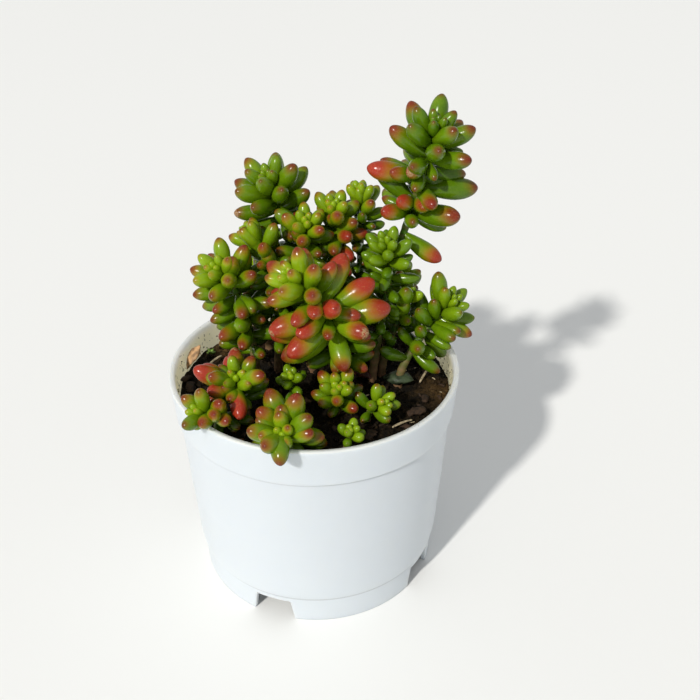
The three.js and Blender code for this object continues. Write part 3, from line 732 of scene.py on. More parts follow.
def spun(points, columns, closed):
    """An outline of (radius, height) points spun round the pot's axis"""
    bm = bmesh.new()
    verts = [bm.verts.new((radius, 0, height)) for radius, height in points]
    ends = verts[1:] + verts[:1] if closed else verts[1:]
    edges = [bm.edges.new(pair) for pair in zip(verts, ends)]
    bmesh.ops.spin(
        bm, geom=verts + edges, cent=(0, 0, 0), axis=(0, 0, 1), dvec=(0, 0, 0), angle=math.tau,
        steps=columns, use_merge=True, use_normal_flip=False, use_duplicate=False)
    bmesh.ops.remove_doubles(bm, verts=bm.verts, dist=1e-4)
    bmesh.ops.recalc_face_normals(bm, faces=bm.faces)
    return bm


def from_front(vert):
    """A vertex's azimuth in degrees, 0 at the front and growing towards the right"""
    return math.degrees(math.atan2(vert.co.x, -vert.co.y))


def turned_from(azimuth, centre):
    """The turn from one azimuth to another, from -180 to 180 degrees"""
    return (azimuth - centre + 180) % 360 - 180


def squeezed(angle, half):
    """The turn of a column near a notch, once the notch's side is half degrees from its middle"""
    if abs(angle) <= NOTCH_COLUMNS:
        return angle * half / NOTCH_COLUMNS
    if abs(angle) >= NOTCH_EASE:
        return angle
    past = (abs(angle) - NOTCH_COLUMNS) / (NOTCH_EASE - NOTCH_COLUMNS)
    return math.copysign(lerp(half, NOTCH_EASE, past), angle)


def opened(bm, near):
    """Takes away the faces between these vertices, and gives the edges of the gap"""
    gone = [f for f in bm.faces if all(v in near for v in f.verts)]
    edge = {e for f in gone for e in f.edges if not all(g in gone for g in e.link_faces)}
    bmesh.ops.delete(bm, geom=gone, context="FACES")
    return edge


def cut_notch(bm, azimuth, rounding):
    """Opens one notch in the foot ring, with its edges rounded"""
    inside = FOOT_RADIUS - FOOT_WALL / 2
    reach = NOTCH_HEIGHT + TOLERANCE
    ring = [v for v in bm.verts if v.co.z < reach and v.co.xy.length > FOOT_RADIUS - 2 * FOOT_WALL]
    turns = {v: turned_from(from_front(v), azimuth) for v in ring}
    near = {v for v in ring if abs(turns[v]) < NOTCH_COLUMNS + TOLERANCE}
    for vert in ring:
        if abs(turns[vert]) < NOTCH_EASE:
            width = lerp(NOTCH_BOTTOM_WIDTH, NOTCH_TOP_WIDTH, vert.co.z / NOTCH_HEIGHT)
            half = math.degrees(math.asin(width / 2 / FOOT_RADIUS))
            vert.co.xy = at_azimuth(azimuth + squeezed(turns[vert], half), vert.co.xy.length)
    edge = opened(bm, near)
    outer = [e for e in edge if all(v.co.xy.length > inside for v in e.verts)]
    inner = [e for e in edge if all(v.co.xy.length < inside for v in e.verts)]
    bmesh.ops.bridge_loops(bm, edges=outer + inner)
    bmesh.ops.bevel(
        bm, geom=list(edge), offset=rounding, offset_type="OFFSET", segments=2, profile=0.5,
        affect="EDGES", material=-1, clamp_overlap=True)


def pierce(bm, centre):
    """Opens a drain hole through both faces of the floor"""
    level = {v for v in bm.verts if FLOOR_UNDERSIDE - TOLERANCE < v.co.z < FLOOR_TOP + TOLERANCE}
    edge = opened(bm, {v for v in level if (v.co.xy - centre).length < DRAIN_RADIUS + 3 * TOLERANCE})
    for vert in {v for e in edge for v in e.verts}:
        vert.co.xy = centre + (vert.co.xy - centre).normalized() * DRAIN_RADIUS
    bmesh.ops.bridge_loops(bm, edges=list(edge))


def pot_outline(settings):
    """The pot's closed outline, from the foot up the outside, over the lip and down to the centre hole"""
    lip = settings.lip_round / MM
    edge = settings.edge_round / MM
    notch_radius = lerp(FOOT_RADIUS, FOOT_TOP_RADIUS, NOTCH_HEIGHT / SEAM_HEIGHT)
    plain_radius = DRAIN_CIRCLE - DRAIN_RADIUS - 2
    return rounded((
        (FOOT_RADIUS - FOOT_WALL, 0, edge, 1),
        (FOOT_RADIUS, 0, edge, 1.6),
        (notch_radius, NOTCH_HEIGHT, 0, 1),
        (FOOT_TOP_RADIUS, SEAM_HEIGHT - SEAM_STEP, 0.12, 0.3),
        (SEAM_RADIUS, SEAM_HEIGHT, 0.25, 0.5),
        (lerp(SEAM_RADIUS, HEEL_RADIUS, 0.6), lerp(SEAM_HEIGHT, HEEL_HEIGHT, 0.35), 2.4, 1),
        (HEEL_RADIUS, HEEL_HEIGHT, 4, 1.5),
        (BODY_RADIUS, BAND_BOTTOM - BAND_STEP, 0.15, 0.5),
        (BAND_RADIUS, BAND_BOTTOM, edge, 1.5),
        (RIM_RADIUS, POT_HEIGHT, lip, 0.5),
        (INNER_TOP_RADIUS, POT_HEIGHT, lip, 1.5),
        (INNER_BAND_RADIUS, BAND_BOTTOM + BAND_STEP, 1, 1),
        (BODY_RADIUS - BODY_WALL, BAND_BOTTOM - RIM_WALL, 1, 6),
        (HEEL_RADIUS - BODY_WALL, HEEL_HEIGHT, 2, 3),
        (FLOOR_RADIUS, FLOOR_TOP + FLOOR_ROUND, 1, 1),
        (FLOOR_RADIUS - FLOOR_ROUND, FLOOR_TOP, 0.6, 0.9),
        (plain_radius, FLOOR_TOP, 0, 5),
        (DRAIN_RADIUS, FLOOR_TOP, 0.4, 1),
        (DRAIN_RADIUS, FLOOR_UNDERSIDE, 0.4, 5),
        (plain_radius, FLOOR_UNDERSIDE, 0, 0.9),
        (FOOT_TOP_RADIUS - FOOT_WALL, FLOOR_UNDERSIDE, 0.2, 0.3),
        (notch_radius - FOOT_WALL, NOTCH_HEIGHT, 0, 1.6),
    ))


def outer_radius(height):
    """Radius of the outside of the wall above the seam"""
    if height > BAND_BOTTOM:
        return lerp(BAND_RADIUS, RIM_RADIUS, (height - BAND_BOTTOM) / (POT_HEIGHT - BAND_BOTTOM))
    return lerp(HEEL_RADIUS, BODY_RADIUS, (height - HEEL_HEIGHT) / (BAND_BOTTOM - HEEL_HEIGHT))


def make_pot(settings):
    """The moulded pot: band, body, rounded heel, and a foot ring with drain notches"""
    bm = spun(pot_outline(settings), settings.columns, closed=True)
    for azimuth in NOTCH_AZIMUTHS:
        cut_notch(bm, azimuth, settings.edge_round / MM)
        pierce(bm, at_azimuth(azimuth, DRAIN_CIRCLE))
    soiled = bm.verts.layers.float.new("soiled")
    ring_at = settings.ring_height / MM
    for vert in bm.verts:
        radius = vert.co.xy.length
        inner = radius < outer_radius(vert.co.z) - BODY_WALL / 2
        depth = clamp((STAIN_TOP - vert.co.z) / (STAIN_TOP - SOIL_EDGE))
        lip = LIP_STAIN * (vert.co.z > LIP_FROM)
        vert[soiled] = depth if inner and vert.co.z > STAIN_BOTTOM else lip
        if not inner and SEAM_HEIGHT < vert.co.z < BAND_BOTTOM - 1:
            swell = settings.mould_ring / MM * math.exp(-((vert.co.z - ring_at) / MOULD_RING_WIDTH) ** 2)
            vert.co.xy = vert.co.xy * (1 + swell / radius)
    bmesh.ops.recalc_face_normals(bm, faces=bm.faces)
    for face in bm.faces:
        face.material_index = all(
            vert[soiled] > LIP_STAIN + 0.01 and vert.co.z > SOIL_EDGE - 2 for vert in face.verts)
    skins = [pot_plastic(settings, "pot_outside", settings.glow),
             pot_plastic(settings, "pot_inside", settings.wall_glow)]
    finished(bm, "nursery_pot", skins, "pot")


def soil_height(x, y):
    """Height of the soil's surface, highest in the middle, before its crumbs"""
    across = math.hypot(x, y) / INNER_TOP_RADIUS
    lumps = math.sin(LUMPS_ACROSS * x + 1) * math.cos(LUMPS_ALONG * y + 2)
    return SOIL_EDGE + SOIL_CROWN * (1 - across * across) + SOIL_LUMP * lumps


def soil_top(x, y, lump):
    """Height of the soil with its lumps and hollows"""
    place = Vector((x, y, 0))
    rough = sum(height * noise.noise(place / width) for height, width in LUMP_LAYERS)
    return soil_height(x, y) + lump * rough


def dryness(x, y):
    """How dry the soil is, from 0 to 1: most in two patches by the wall"""
    patches = sum(math.exp(-(Vector((x, y)) - Vector(middle)).length_squared / reach ** 2)
                  for middle, reach in DRY_PATCHES)
    return clamp(patches + 0.4 * noise.noise(Vector((x, y, 0)) / 5) - 0.1)


def make_soil(settings):
    """The soil that fills the pot, lumpy on top"""
    lump = settings.lump / MM
    edge = lerp(INNER_BAND_RADIUS, INNER_TOP_RADIUS, 0.3) - CLEARANCE
    rings = round(edge / SOIL_STEP)
    top = [(edge * k / rings, SOIL_EDGE) for k in range(rings + 1)]
    side = [
        (BODY_RADIUS - BODY_WALL - CLEARANCE, BAND_BOTTOM - RIM_WALL),
        (HEEL_RADIUS - BODY_WALL - CLEARANCE, HEEL_HEIGHT),
        (FLOOR_RADIUS - CLEARANCE, FLOOR_TOP + FLOOR_ROUND + CLEARANCE),
        (FLOOR_RADIUS - FLOOR_ROUND, FLOOR_TOP + CLEARANCE),
        (0, FLOOR_TOP + CLEARANCE),
    ]
    bm = spun(top + side, SOIL_COLUMNS, closed=False)
    dry = bm.verts.layers.float.new("dry")
    for vert in bm.verts:
        if vert.co.z > SOIL_EDGE - TOLERANCE:
            vert.co.z = soil_top(vert.co.x, vert.co.y, lump)
            vert[dry] = dryness(vert.co.x, vert.co.y)
    finished(bm, "soil_bed", [bpy.data.materials["crumbly_soil"]], "soil")


def crumb_kinds(draw):
    """Some angular crumbs of unit size, from damp to dry, to be set down many times"""
    kinds = []
    for k in range(CRUMB_KINDS):
        bm = bmesh.new()
        dry = bm.verts.layers.float.new("dry")
        bmesh.ops.create_icosphere(bm, subdivisions=1, radius=1)
        for vert in bm.verts:
            vert.co *= draw.uniform(0.7, 1.25)
            vert[dry] = (k / CRUMB_KINDS) ** 2
        kinds.append(meshed(bm, "crumb"))
    return kinds


def set_down(bm, kind, place, size, draw):
    """One crumb, turned and flattened by chance"""
    axis = Vector([draw.gauss(0, 1) for _ in range(3)])
    turn = Matrix.Rotation(draw.uniform(0, math.tau), 4, axis)
    flat = Matrix.Diagonal((size, size * draw.uniform(0.6, 1), size * draw.uniform(0.45, 0.85), 1))
    crumb = kind.copy()
    crumb.transform(Matrix.Translation(place) @ turn @ flat)
    bm.from_mesh(crumb)
    bpy.data.meshes.remove(crumb)


def make_crumbs(settings):
    """Loose crumbs on the soil, and a few on the inner wall and the lip"""
    draw = random.Random(settings.seed)
    lump = settings.lump / MM
    usual = settings.crumb / MM
    kinds = crumb_kinds(draw)
    bm = bmesh.new()
    for _ in range(settings.crumbs):
        size = usual * math.exp(draw.gauss(0, CRUMB_SPREAD))
        x, y = strewn(draw, INNER_TOP_RADIUS - 1.2 - size)
        z = soil_top(x, y, lump) + size * draw.uniform(-0.1, 0.5)
        kind = kinds[int(clamp(draw.random() * 0.35 + dryness(x, y) * 0.9, 0, 0.99) * CRUMB_KINDS)]
        set_down(bm, kind, Vector((x, y, z)), size, draw)
    for _ in range(WALL_CRUMBS):
        turn = draw.uniform(0, math.tau)
        size = usual * draw.uniform(0.3, 0.7)
        height = SOIL_EDGE + abs(draw.gauss(0, WALL_CRUMBS_REACH))
        up = (height - BAND_BOTTOM) / (POT_HEIGHT - BAND_BOTTOM)
        out = lerp(INNER_BAND_RADIUS, INNER_TOP_RADIUS, up) - size * 0.3
        if height > POT_HEIGHT - 1:
            height = POT_HEIGHT + size * 0.2
            out = RIM_RADIUS - RIM_WALL / 2 + draw.uniform(-0.3, 0.3)
        set_down(bm, draw.choice(kinds), Vector((*polar(out, turn), height)), size, draw)
    for kind in kinds:
        bpy.data.meshes.remove(kind)
    finished(bm, "soil_crumbs", [bpy.data.materials["crumbly_soil"]])


def laid(bm, start, end, width, thickness, arch, rough, draw, roundness=1):
    """A chip, straw or leaf that lies from start to end: a ball drawn out, flattened and arched"""
    run = end - start
    heading = run.normalized()
    sideways = heading.cross(Vector((0, 0, 1))).normalized()
    upward = sideways.cross(heading)
    shift = Vector((draw.uniform(0, 99), 0, 0))
    made = bmesh.ops.create_uvsphere(bm, u_segments=10, v_segments=9, radius=1)
    for vert in made["verts"]:
        ball = vert.co.copy()
        along = (1 + ball.z) / 2
        full = leaf_width(along) if roundness == 1 else 1
        taper = max(ball.xy.length, 1e-6) ** (1 - roundness)
        uneven = 1 + rough * noise.noise(ball * 2.2 + shift)
        place = start + run * along + upward * (4 * arch * along * (1 - along))
        place += sideways * (ball.x / taper * full * width / 2 * uneven)
        vert.co = place + upward * (ball.y / taper * full * thickness / 2 * uneven)
    return {face for vert in made["verts"] for face in vert.link_faces}


def on_soil(x, y, lift, lump):
    """A place on the soil, raised a little"""
    return Vector((x, y, soil_top(x, y, lump) + lift))


def make_bark(settings, lump):
    """Bark chips, a few large ones and many small"""
    draw = random.Random(settings.seed)
    bm = bmesh.new()
    small = [(strewn(draw, LITTER_REACH), draw.uniform(1.4, 2.8), draw.uniform(0, 180))
             for _ in range(settings.chips)]
    for (x, y), long, turn in (*BARK_CHIPS, *small):
        half = Vector((*polar(1, math.radians(turn)), 0)) * long / 2
        middle = on_soil(x, y, 0.1 * long + 0.3, lump)
        tip = Vector((0, 0, draw.uniform(-0.16, 0.16) * long))
        laid(bm, middle - half - tip, middle + half + tip, long * draw.uniform(0.42, 0.6),
             long * draw.uniform(0.14, 0.26), 0.07 * long, 0.9, draw, CHIP_ROUNDNESS)
    bark = litter_finish("bark", settings.bark, 1.2, 0.75)
    finished(bm, "bark_chips", [bark])


def make_straws(settings, lump):
    """A few straws and many short bits"""
    draw = random.Random(settings.seed + 1)
    bm = bmesh.new()
    for start, end in STRAWS:
        laid(bm, Vector(start), Vector(end), 0.8, 0.5, 0.4, 0.4, draw, CHIP_ROUNDNESS)
    for _ in range(settings.bits):
        start = on_soil(*strewn(draw, LITTER_REACH), 0.5, lump)
        bit = Vector((draw.uniform(-2, 2), draw.uniform(-2, 2), draw.uniform(-0.2, 0.6)))
        laid(bm, start, start + bit, 0.4, 0.3, 0.1, 0.3, draw, CHIP_ROUNDNESS)
    straw = litter_finish("straw", settings.straw, 0.8, 0.6)
    finished(bm, "straws", [straw])


def make_shed_leaves(settings):
    """Leaves that fell on the soil, and dried husks"""
    draw = random.Random(settings.seed + 2)
    shades = {
        "faded_leaf": settings.faded, "shade_painted_leaf": settings.shaded,
        "dark_red_leaf": settings.dark_red, "husk": settings.husk}
    bm = bmesh.new()
    for start, end, width, thickness, kind in SHED_LEAVES:
        faces = laid(bm, Vector(start), Vector(end), width, thickness, 0.6, 0.5, draw)
        for face in faces:
            face.material_index = list(shades).index(kind)
    materials = [litter_finish(name, shade, 2, 0.45) for name, shade in shades.items()]
    finished(bm, "shed_leaves", materials)


def make_seedling(settings, lump):
    """A tiny seedling by the wall"""
    draw = random.Random(settings.seed + 3)
    bm = bmesh.new()
    for k in range(7):
        turn = math.radians(GOLDEN_ANGLE * k)
        root = on_soil(*SEEDLING, 0.4, lump)
        reach = Vector((*polar(1, turn), draw.uniform(0.5, 1.3))) * draw.uniform(1.2, 2)
        laid(bm, root, root + reach, 1.1, 0.9, 0.1, 0.2, draw)
    finished(bm, "seedling", [litter_finish("seedling_green", settings.sprout, 1.5, 0.4)])


class Stem:
    """The run of a stem: upright from the soil, then over to its lean at the tip"""

    def __init__(self, row):
        self.row = row
        start = Vector((*row["foot"], SOIL_EDGE))
        end = Vector(row["tip"])
        self.reach = (end - start).length
        lean = math.radians(row["lean"])
        axis = Vector((*polar(math.sin(lean), math.radians(row["side"])), math.cos(lean)))
        rise = Vector((start.x, start.y, SOIL_EDGE + FOOT_RUN * self.reach))
        self.knots = (start, rise, end - axis * row.get("run", TIP_RUN) * self.reach, end)

    def point(self, t):
        """The place at share t of the way from the soil to the tip"""
        a, b, c, d = self.knots
        s = 1 - t
        return a * s ** 3 + b * (3 * s * s * t) + c * (3 * s * t * t) + d * t ** 3

    def heading(self, t):
        """The direction towards the tip"""
        a, b, c, d = self.knots
        s = 1 - t
        return ((b - a) * (s * s) + (c - b) * (2 * s * t) + (d - c) * (t * t)).normalized()

    def across(self, t):
        """Two directions square to the stem, the first as near to +X as it can be"""
        heading = self.heading(t)
        level = Vector((1, 0, 0))
        level = (level - heading * heading.x).normalized()
        return level, heading.cross(level)


def leaf_width(along):
    """Half width of a leaf along its length, as a share of the widest"""
    if along < BELLY:
        return NECK + (1 - NECK) * math.sin(math.pi / 2 * along / BELLY)
    past = (along - BELLY) / (1 - BELLY)
    return max(0, 1 - past ** TIP_FULLNESS) ** TIP_ROUNDNESS


class Leaf:
    """A leaf rooted on the middle line of its stem, curving up towards the stem's tip"""

    def __init__(self, stem, below, side, tilt, length, fat, bend, youth, blush):
        share = 1 - below / stem.reach
        self.root = stem.point(share)
        self.stemward = stem.heading(share)
        level, across = stem.across(share)
        turn = math.radians(side)
        self.outward = level * math.cos(turn) + across * math.sin(turn)
        self.sideways = self.stemward.cross(self.outward)
        self.tilt = math.radians(tilt)
        self.bend = math.radians(bend)
        self.length = length
        self.half_width = length * fat
        self.youth = youth
        self.blush = blush
        self.shade = 0

    def centre(self, along):
        """The middle of the leaf at a share of its length"""
        angle = self.tilt - self.bend * along
        radius = self.length / self.bend
        return (self.root
                + self.stemward * (radius * (math.sin(self.tilt) - math.sin(angle)))
                + self.outward * (radius * (math.cos(angle) - math.cos(self.tilt))))

    def balls(self, parts=LEAF_PARTS):
        """Balls that fill the leaf, to test what it would touch"""
        return [(self.centre(a), self.half_width * leaf_width(a)) for a in parts]


def drawn(seed):
    """Draws between two limits, one after another, from a seed"""
    state = seed

    def between(low, high):
        nonlocal state
        state = state * MULTIPLIER % MODULUS
        return low + (high - low) * state / MODULUS

    return between


def wanted_leaves(index, row):
    """Every leaf that a stem would grow with nothing in its way"""
    between = drawn(SEED * (1 + index))
    fat = row["plump"]
    fresh = row.get("fresh", 1)
    large = [(leaf, GROWN_BEND) for leaf in row["grown"]]
    if "hanging" in row:
        large.append((row["hanging"], HANGING_BEND))
    wanted = [
        dict(zip(LEAF_COLUMNS, leaf), fat=fat + GROWN_EXTRA_WIDTH, bend=bend, youth=GROWN_YOUTH * fresh)
        for leaf, bend in large]
    bud = BUD_LENGTH * min(1, row["length"] / FULL_BUD_AT)
    turn = GOLDEN_ANGLE * row["hand"]
    for k in range(row["leaves"]):
        age = k / (row["leaves"] - 1)
        size = lerp(bud, row["length"], ease(min(1, age / FULL_SIZE_AGE)))
        wanted.append(dict(
            length=size * between(*LENGTHS),
            below=row["depth"] * age ** DEPTH_CURVE,
            tilt=lerp(HEART_TILT, EDGE_TILT, age ** TILT_CURVE) + between(*TILTS) * age,
            side=row["phase"] + turn * k + between(*SIDES),
            fat=fat + BUD_EXTRA_WIDTH * (1 - age),
            bend=ROSETTE_BEND, youth=(1 - age) * fresh, blush=row["blush"] * age ** 0.5))
    for k in range(row["below"]):
        wanted.append(dict(
            below=row["depth"] + BELOW_SPACING * (k + 1),
            side=row["phase"] + turn * (row["leaves"] + k) + between(*BELOW_SIDES),
            tilt=between(*BELOW_TILTS),
            length=row["length"] * between(*BELOW_LENGTHS),
            fat=fat, bend=BELOW_BEND, youth=0, blush=row["blush"]))
    return wanted


class Room:
    """What is taken, as balls sorted into boxes"""

    def __init__(self):
        self.boxes = {}

    def key(self, centre):
        return tuple(math.floor(value / ROOM_BOX) for value in centre)

    def take(self, owner, centre, radius):
        self.boxes.setdefault(self.key(centre), []).append((owner, centre, radius))

    def clear_of_plant(self, owner, centre, radius, gap=LEAF_GAP):
        x, y, z = self.key(centre)
        near = ((x + i, y + j, z + k) for i in (-1, 0, 1) for j in (-1, 0, 1) for k in (-1, 0, 1))
        return not any(
            other != owner and (centre - place).length < radius + size + gap
            for key in near for other, place, size in self.boxes.get(key, ()))

    def clear_of_pot(self, centre, radius):
        out = math.hypot(centre.x, centre.y)
        room = radius + LEAF_GAP
        if out < RIM_RADIUS and centre.z - room < soil_height(centre.x, centre.y):
            return False
        aside = max(0, abs(out - RIM_RADIUS + RIM_WALL / 2) - RIM_WALL / 2)
        return math.hypot(max(0, centre.z - POT_HEIGHT), aside) > room

    def fits(self, name, leaf):
        """Whether a leaf is clear of the pot, the soil and the other stems"""
        return all(self.clear_of_pot(*ball) and self.clear_of_plant(name, *ball) for ball in leaf.balls())

    def squeezes_in(self, name, leaf):
        """Whether a small leaf also finds its place between the others of its own stem"""
        outer = leaf.balls(OUTER_PARTS)
        return (
            all(self.clear_of_pot(*ball) for ball in outer)
            and all(self.clear_of_plant(None, *ball, FILLER_GAP) for ball in outer)
            and all(self.clear_of_plant(name, *ball, 0) for ball in leaf.balls(INNER_PARTS)))

    def grown(self, stem, wanted, fits, aside=1):
        """The leaf in the first way that fits, or None"""
        name = stem.row["name"]
        for tilt, side, part in WAYS_ASIDE:
            leaf = Leaf(stem, **{
                **wanted, "tilt": wanted["tilt"] + tilt, "side": wanted["side"] + aside * side,
                "length": wanted["length"] * part})
            if fits(name, leaf):
                for ball in leaf.balls():
                    self.take(name, *ball)
                return leaf
        return None


def wanted_fillers(index, stem):
    """Small leaves that would fill the gaps along a stem, from its rosette down to the soil"""
    between = drawn(SEED * (101 + index))
    row = stem.row
    below = FILLERS_FROM
    side = row["phase"] + FILLER_TURN
    lowest = row.get("bare", min(FILLERS_DOWN_TO, row["tip"][2] - FILLERS_REACH))
    while below < stem.reach - LOWEST_LEAF and stem.point(1 - below / stem.reach).z > lowest:
        part = clamp(below / row["depth"])
        yield dict(
            below=below, side=side,
            tilt=lerp(*FILLER_TILT, part) + between(*FILLER_TILTS),
            length=row["length"] * lerp(*FILLER_LENGTH, part) * between(*FILLER_LENGTHS),
            fat=row["plump"] * FILLER_PLUMPNESS, bend=ROSETTE_BEND,
            youth=FILLER_YOUTH * (1 - part) * row.get("fresh", 1), blush=row["blush"] * FILLER_BLUSH)
        below += FILLER_STEP
        side += GOLDEN_ANGLE * row["hand"]


def grown_plant():
    """Every stem with its leaves, in the order in which they find their places"""
    room = Room()
    stems = [Stem(row) for row in STEMS]
    for stem in stems:
        steps = max(6, math.floor(stem.reach / STEM_BALL_STEP))
        for k in range(steps + 1):
            room.take(stem.row["name"], stem.point(k / steps), STEM_RADIUS)
    plant = []
    for index, stem in enumerate(stems):
        wanted = [w for w in wanted_leaves(index, stem.row) if w["below"] < stem.reach - LOWEST_LEAF]
        leaves = [room.grown(stem, w, room.fits) for w in wanted]
        plant.append((stem, [leaf for leaf in leaves if leaf]))
    for index, (stem, leaves) in enumerate(plant):
        fillers = [room.grown(stem, w, room.squeezes_in, 2) for w in wanted_fillers(index, stem)]
        leaves += [leaf for leaf in fillers if leaf]
    shade_leaves([leaf for _, leaves in plant for leaf in leaves])
    return plant


def shade_leaves(leaves):
    """Notes how far each leaf is shaded: how many others stand between it and the sun"""
    places = [(leaf, *ball) for leaf in leaves for ball in leaf.balls(SHADE_PARTS)]
    for leaf in leaves:
        middle = leaf.centre(SHADE_MIDDLE)
        hidden = set()
        for other, centre, radius in places:
            way = centre - middle
            ahead = way.dot(SUNWARD)
            if 1 < ahead < SHADE_REACH and other is not leaf:
                if (way - SUNWARD * ahead).length < radius + SHADE_WIDTH:
                    hidden.add(other)
        leaf.shade = clamp(len(hidden) / SHADED_BY)


def leaf_ball(sides, rings):
    """A ball with the leaf's numbers on its vertices, to be shaped many times"""
    bm = bmesh.new()
    for name in LEAF_NUMBERS:
        bm.verts.layers.float.new(name)
    bmesh.ops.create_uvsphere(bm, u_segments=sides, v_segments=rings, radius=1)
    return bm


def add_leaf(whole, start, leaf, settings, draw):
    """One leaf: a ball stretched and bent along the leaf's middle line"""
    bm = start.copy()
    layers = [bm.verts.layers.float[name] for name in LEAF_NUMBERS]
    shift = Vector((draw.uniform(0, 50), 0, 0))
    tint = leaf.blush + draw.uniform(-BLUSH_SPREAD, BLUSH_SPREAD) - SHADE_PALES * leaf.shade
    youth = clamp(leaf.youth + draw.uniform(-YOUTH_SPREAD, YOUTH_SPREAD))
    scar = draw.random() < settings.scarred and leaf.length > LARGE_LEAF
    rings = {}
    for vert in bm.verts:
        x, y, z = vert.co
        key = round(z, 4)
        if key not in rings:
            along = ((1 + z) / 2) ** 0.9
            turn = leaf.tilt - leaf.bend * along
            under = leaf.outward * math.cos(turn) - leaf.stemward * math.sin(turn)
            pole = abs(z) > 0.9999
            width = 0 if pole else leaf.half_width * leaf_width(along)
            rings[key] = along, leaf.centre(along), under, width
        along, centre, under, width = rings[key]
        direction = (leaf.sideways * x + under * y).normalized()
        place = centre + direction * width
        uneven = width * settings.dent * noise.noise(place * 0.45 + shift)
        vert.co = place + direction * uneven
        # How far the skin faces the sun, near the key light: the finish makes that side redder as sun blush
        # and a lighter green as painted light
        sunny = 0.5 + 0.5 * direction.dot(SUNWARD)
        for layer, value in zip(layers, (along, tint, youth, sunny, scar, leaf.shade)):
            vert[layer] = value
    mesh = meshed(bm, "leaf")
    whole.from_mesh(mesh)
    bpy.data.meshes.remove(mesh)


def add_stem(bm, layers, stem):
    """The stem itself: a ball stretched from its root to its tip, ringed where leaves grew"""
    length = stem.reach + ROOT_DEPTH
    rings = max(12, round(length / STEM_STEP))
    made = bmesh.ops.create_uvsphere(bm, u_segments=STEM_SIDES, v_segments=rings, radius=1)
    for vert in made["verts"]:
        ball = vert.co.copy()
        share = math.acos(clamp(-ball.z, -1, 1)) / math.pi
        height = share * length - ROOT_DEPTH
        t = clamp(height / stem.reach)
        centre = stem.point(t) + Vector((0, 0, min(0, height)))
        level, across = stem.across(t)
        girth = ball.xy.length
        scar = 0.5 + 0.5 * math.cos(math.tau * (stem.reach - height) / BELOW_SPACING)
        if girth > 1e-5:
            radius = lerp(STEM_RADIUS, STEM_TIP_RADIUS, share) + 0.1 * scar - 0.15
            centre += (level * ball.x + across * ball.y) / girth * radius
        vert.co = centre
        vert[layers["along"]] = t
        vert[layers["scar"]] = scar ** 4
    for face in {face for vert in made["verts"] for face in vert.link_faces}:
        face.material_index = 1


def make_leafy_stem(stem, leaves, balls, settings, materials):
    """One stem with its leaves"""
    bm = bmesh.new()
    layers = {name: bm.verts.layers.float.new(name) for name in LEAF_NUMBERS}
    draw = random.Random(stem.row["name"])
    add_stem(bm, layers, stem)
    for leaf in leaves:
        add_leaf(bm, balls[leaf.length < SMALL_LEAF], leaf, settings, draw)
    bmesh.ops.recalc_face_normals(bm, faces=bm.faces)
    name = stem.row["name"]
    finished(bm, name + "_leaves", materials, name)


class PLANT_OT_pot(Operator):
    """Model the white nursery pot"""

    bl_idname = "plant.pot"
    bl_label = "Nursery pot"

    def execute(self, context):
        make_pot(context.scene.plant_pot)
        return {"FINISHED"}


class PLANT_OT_soil(Operator):
    """Model the soil with its crumbs"""

    bl_idname = "plant.soil"
    bl_label = "Soil"

    def execute(self, context):
        settings = context.scene.plant_soil
        crumbly_soil(settings)
        make_soil(settings)
        make_crumbs(settings)
        return {"FINISHED"}


class PLANT_OT_leafy_stems(Operator):
    """Grow the stems with their plump leaves"""

    bl_idname = "plant.leafy_stems"
    bl_label = "Leafy stems"

    def execute(self, context):
        settings = context.scene.plant_leaves
        materials = [waxy_leaf(settings), fleshy_stem(settings)]
        balls = [leaf_ball(settings.sides - fewer, settings.rings - fewer) for fewer in (0, FEWER_FACES)]
        for stem, leaves in grown_plant():
            make_leafy_stem(stem, leaves, balls, settings, materials)
        for spare in balls:
            spare.free()
        return {"FINISHED"}


class PLANT_OT_litter(Operator):
    """Scatter bark, straws and shed leaves on the soil"""

    bl_idname = "plant.litter"
    bl_label = "Litter"

    def execute(self, context):
        settings = context.scene.plant_litter
        lump = context.scene.plant_soil.lump / MM
        make_bark(settings, lump)
        make_straws(settings, lump)
        make_shed_leaves(settings)
        make_seedling(settings, lump)
        return {"FINISHED"}


class PLANT_OT_stage(Operator):
    """Set the floor, the lights and the camera"""

    bl_idname = "plant.stage"
    bl_label = "Stage"

    def execute(self, context):
        settings = context.scene.plant_stage
        make_floor(settings)
        make_lights(context.scene, settings)
        make_camera(context.scene, settings)
        return {"FINISHED"}


def make_floor(settings):
    """A plain pale floor"""
    made = Finish("plain_floor")
    bm = bmesh.new()
    bmesh.ops.create_grid(bm, x_segments=2, y_segments=2, size=FLOOR_REACH)
    mesh = meshed(bm, "floor")
    mesh.materials.append(made.finish(Base_Color=settings.floor, Roughness=0.55))
    floor = bpy.data.objects.new("floor", mesh)
    bpy.context.scene.collection.objects.link(floor)


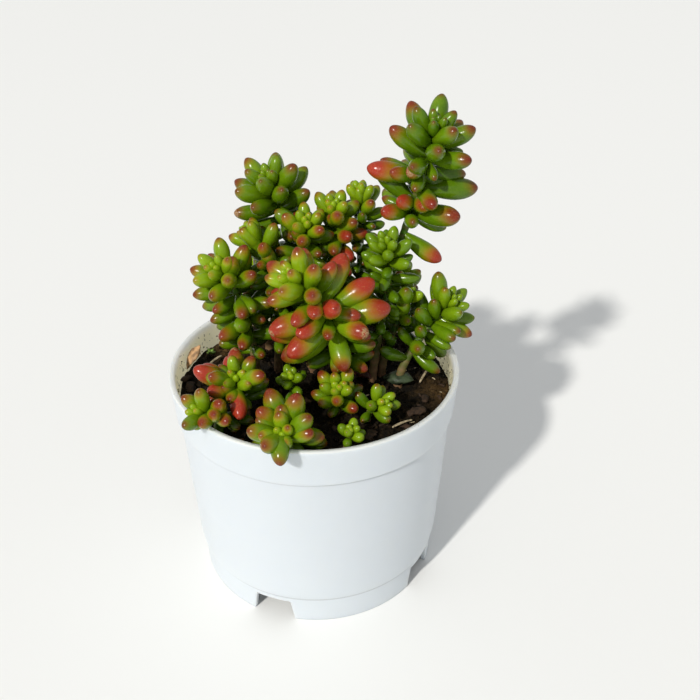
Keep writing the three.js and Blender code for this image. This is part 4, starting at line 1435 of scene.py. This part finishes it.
def make_lights(scene, settings):
    """A key light from the front left, and light all round"""
    light = bpy.data.lights.new("key_light", "SUN")
    light.energy = settings.key
    light.angle = settings.softness
    light.color = LIGHT_COLOUR
    lamp = bpy.data.objects.new("key_light", light)
    lamp.rotation_euler = LIGHT_FROM.to_track_quat("Z", "Y").to_euler()
    scene.collection.objects.link(lamp)
    world = bpy.data.worlds.new("plain_light")
    world.use_nodes = True
    background = world.node_tree.nodes["Background"]
    background.inputs["Color"].default_value = SKY_COLOUR
    background.inputs["Strength"].default_value = settings.sky
    scene.world = world
    scene.view_settings.view_transform = "Standard"


def make_camera(scene, settings):
    """The camera at the viewing angle, about 28 cm from the plant and 32 degrees above it"""
    camera = bpy.data.cameras.new("camera")
    camera.lens = settings.lens
    camera.sensor_width = SENSOR_WIDTH
    camera.clip_end = 20
    eye = bpy.data.objects.new("camera", camera)
    eye.location = POT_AXIS + EYE
    eye.rotation_euler = (math.radians(EYE_TILT), 0, 0)
    scene.collection.objects.link(eye)
    scene.camera = eye


class PLANT_PT_sidebar(Panel):
    """The sidebar panel that lists the pieces"""

    bl_label = "Jelly bean plant"
    bl_space_type = "VIEW_3D"
    bl_region_type = "UI"
    bl_category = "Plant"

    def draw(self, context):
        for name, _, operator in PIECES:
            box = self.layout.box()
            box.operator(operator.bl_idname)
            settings = getattr(context.scene, name)
            for shown in type(settings).__annotations__:
                box.prop(settings, shown)


# Each group of pieces: where the scene keeps its settings, their class, and its operator
PIECES = (
    ("plant_pot", PotSettings, PLANT_OT_pot),
    ("plant_soil", SoilSettings, PLANT_OT_soil),
    ("plant_leaves", PlantSettings, PLANT_OT_leafy_stems),
    ("plant_litter", LitterSettings, PLANT_OT_litter),
    ("plant_stage", StageSettings, PLANT_OT_stage),
)
CLASSES = (*(cls for _, *pair in PIECES for cls in pair), PLANT_PT_sidebar)


def register():
    for cls in CLASSES:
        bpy.utils.register_class(cls)
    for name, settings, _ in PIECES:
        setattr(bpy.types.Scene, name, PointerProperty(type=settings))


def unregister():
    for name, _, _ in PIECES:
        delattr(bpy.types.Scene, name)
    for cls in reversed(CLASSES):
        bpy.utils.unregister_class(cls)


def main():
    register()
    bpy.ops.plant.pot()
    bpy.ops.plant.soil()
    bpy.ops.plant.leafy_stems()
    bpy.ops.plant.litter()
    bpy.ops.plant.stage()


if __name__ == "__main__":
    main()
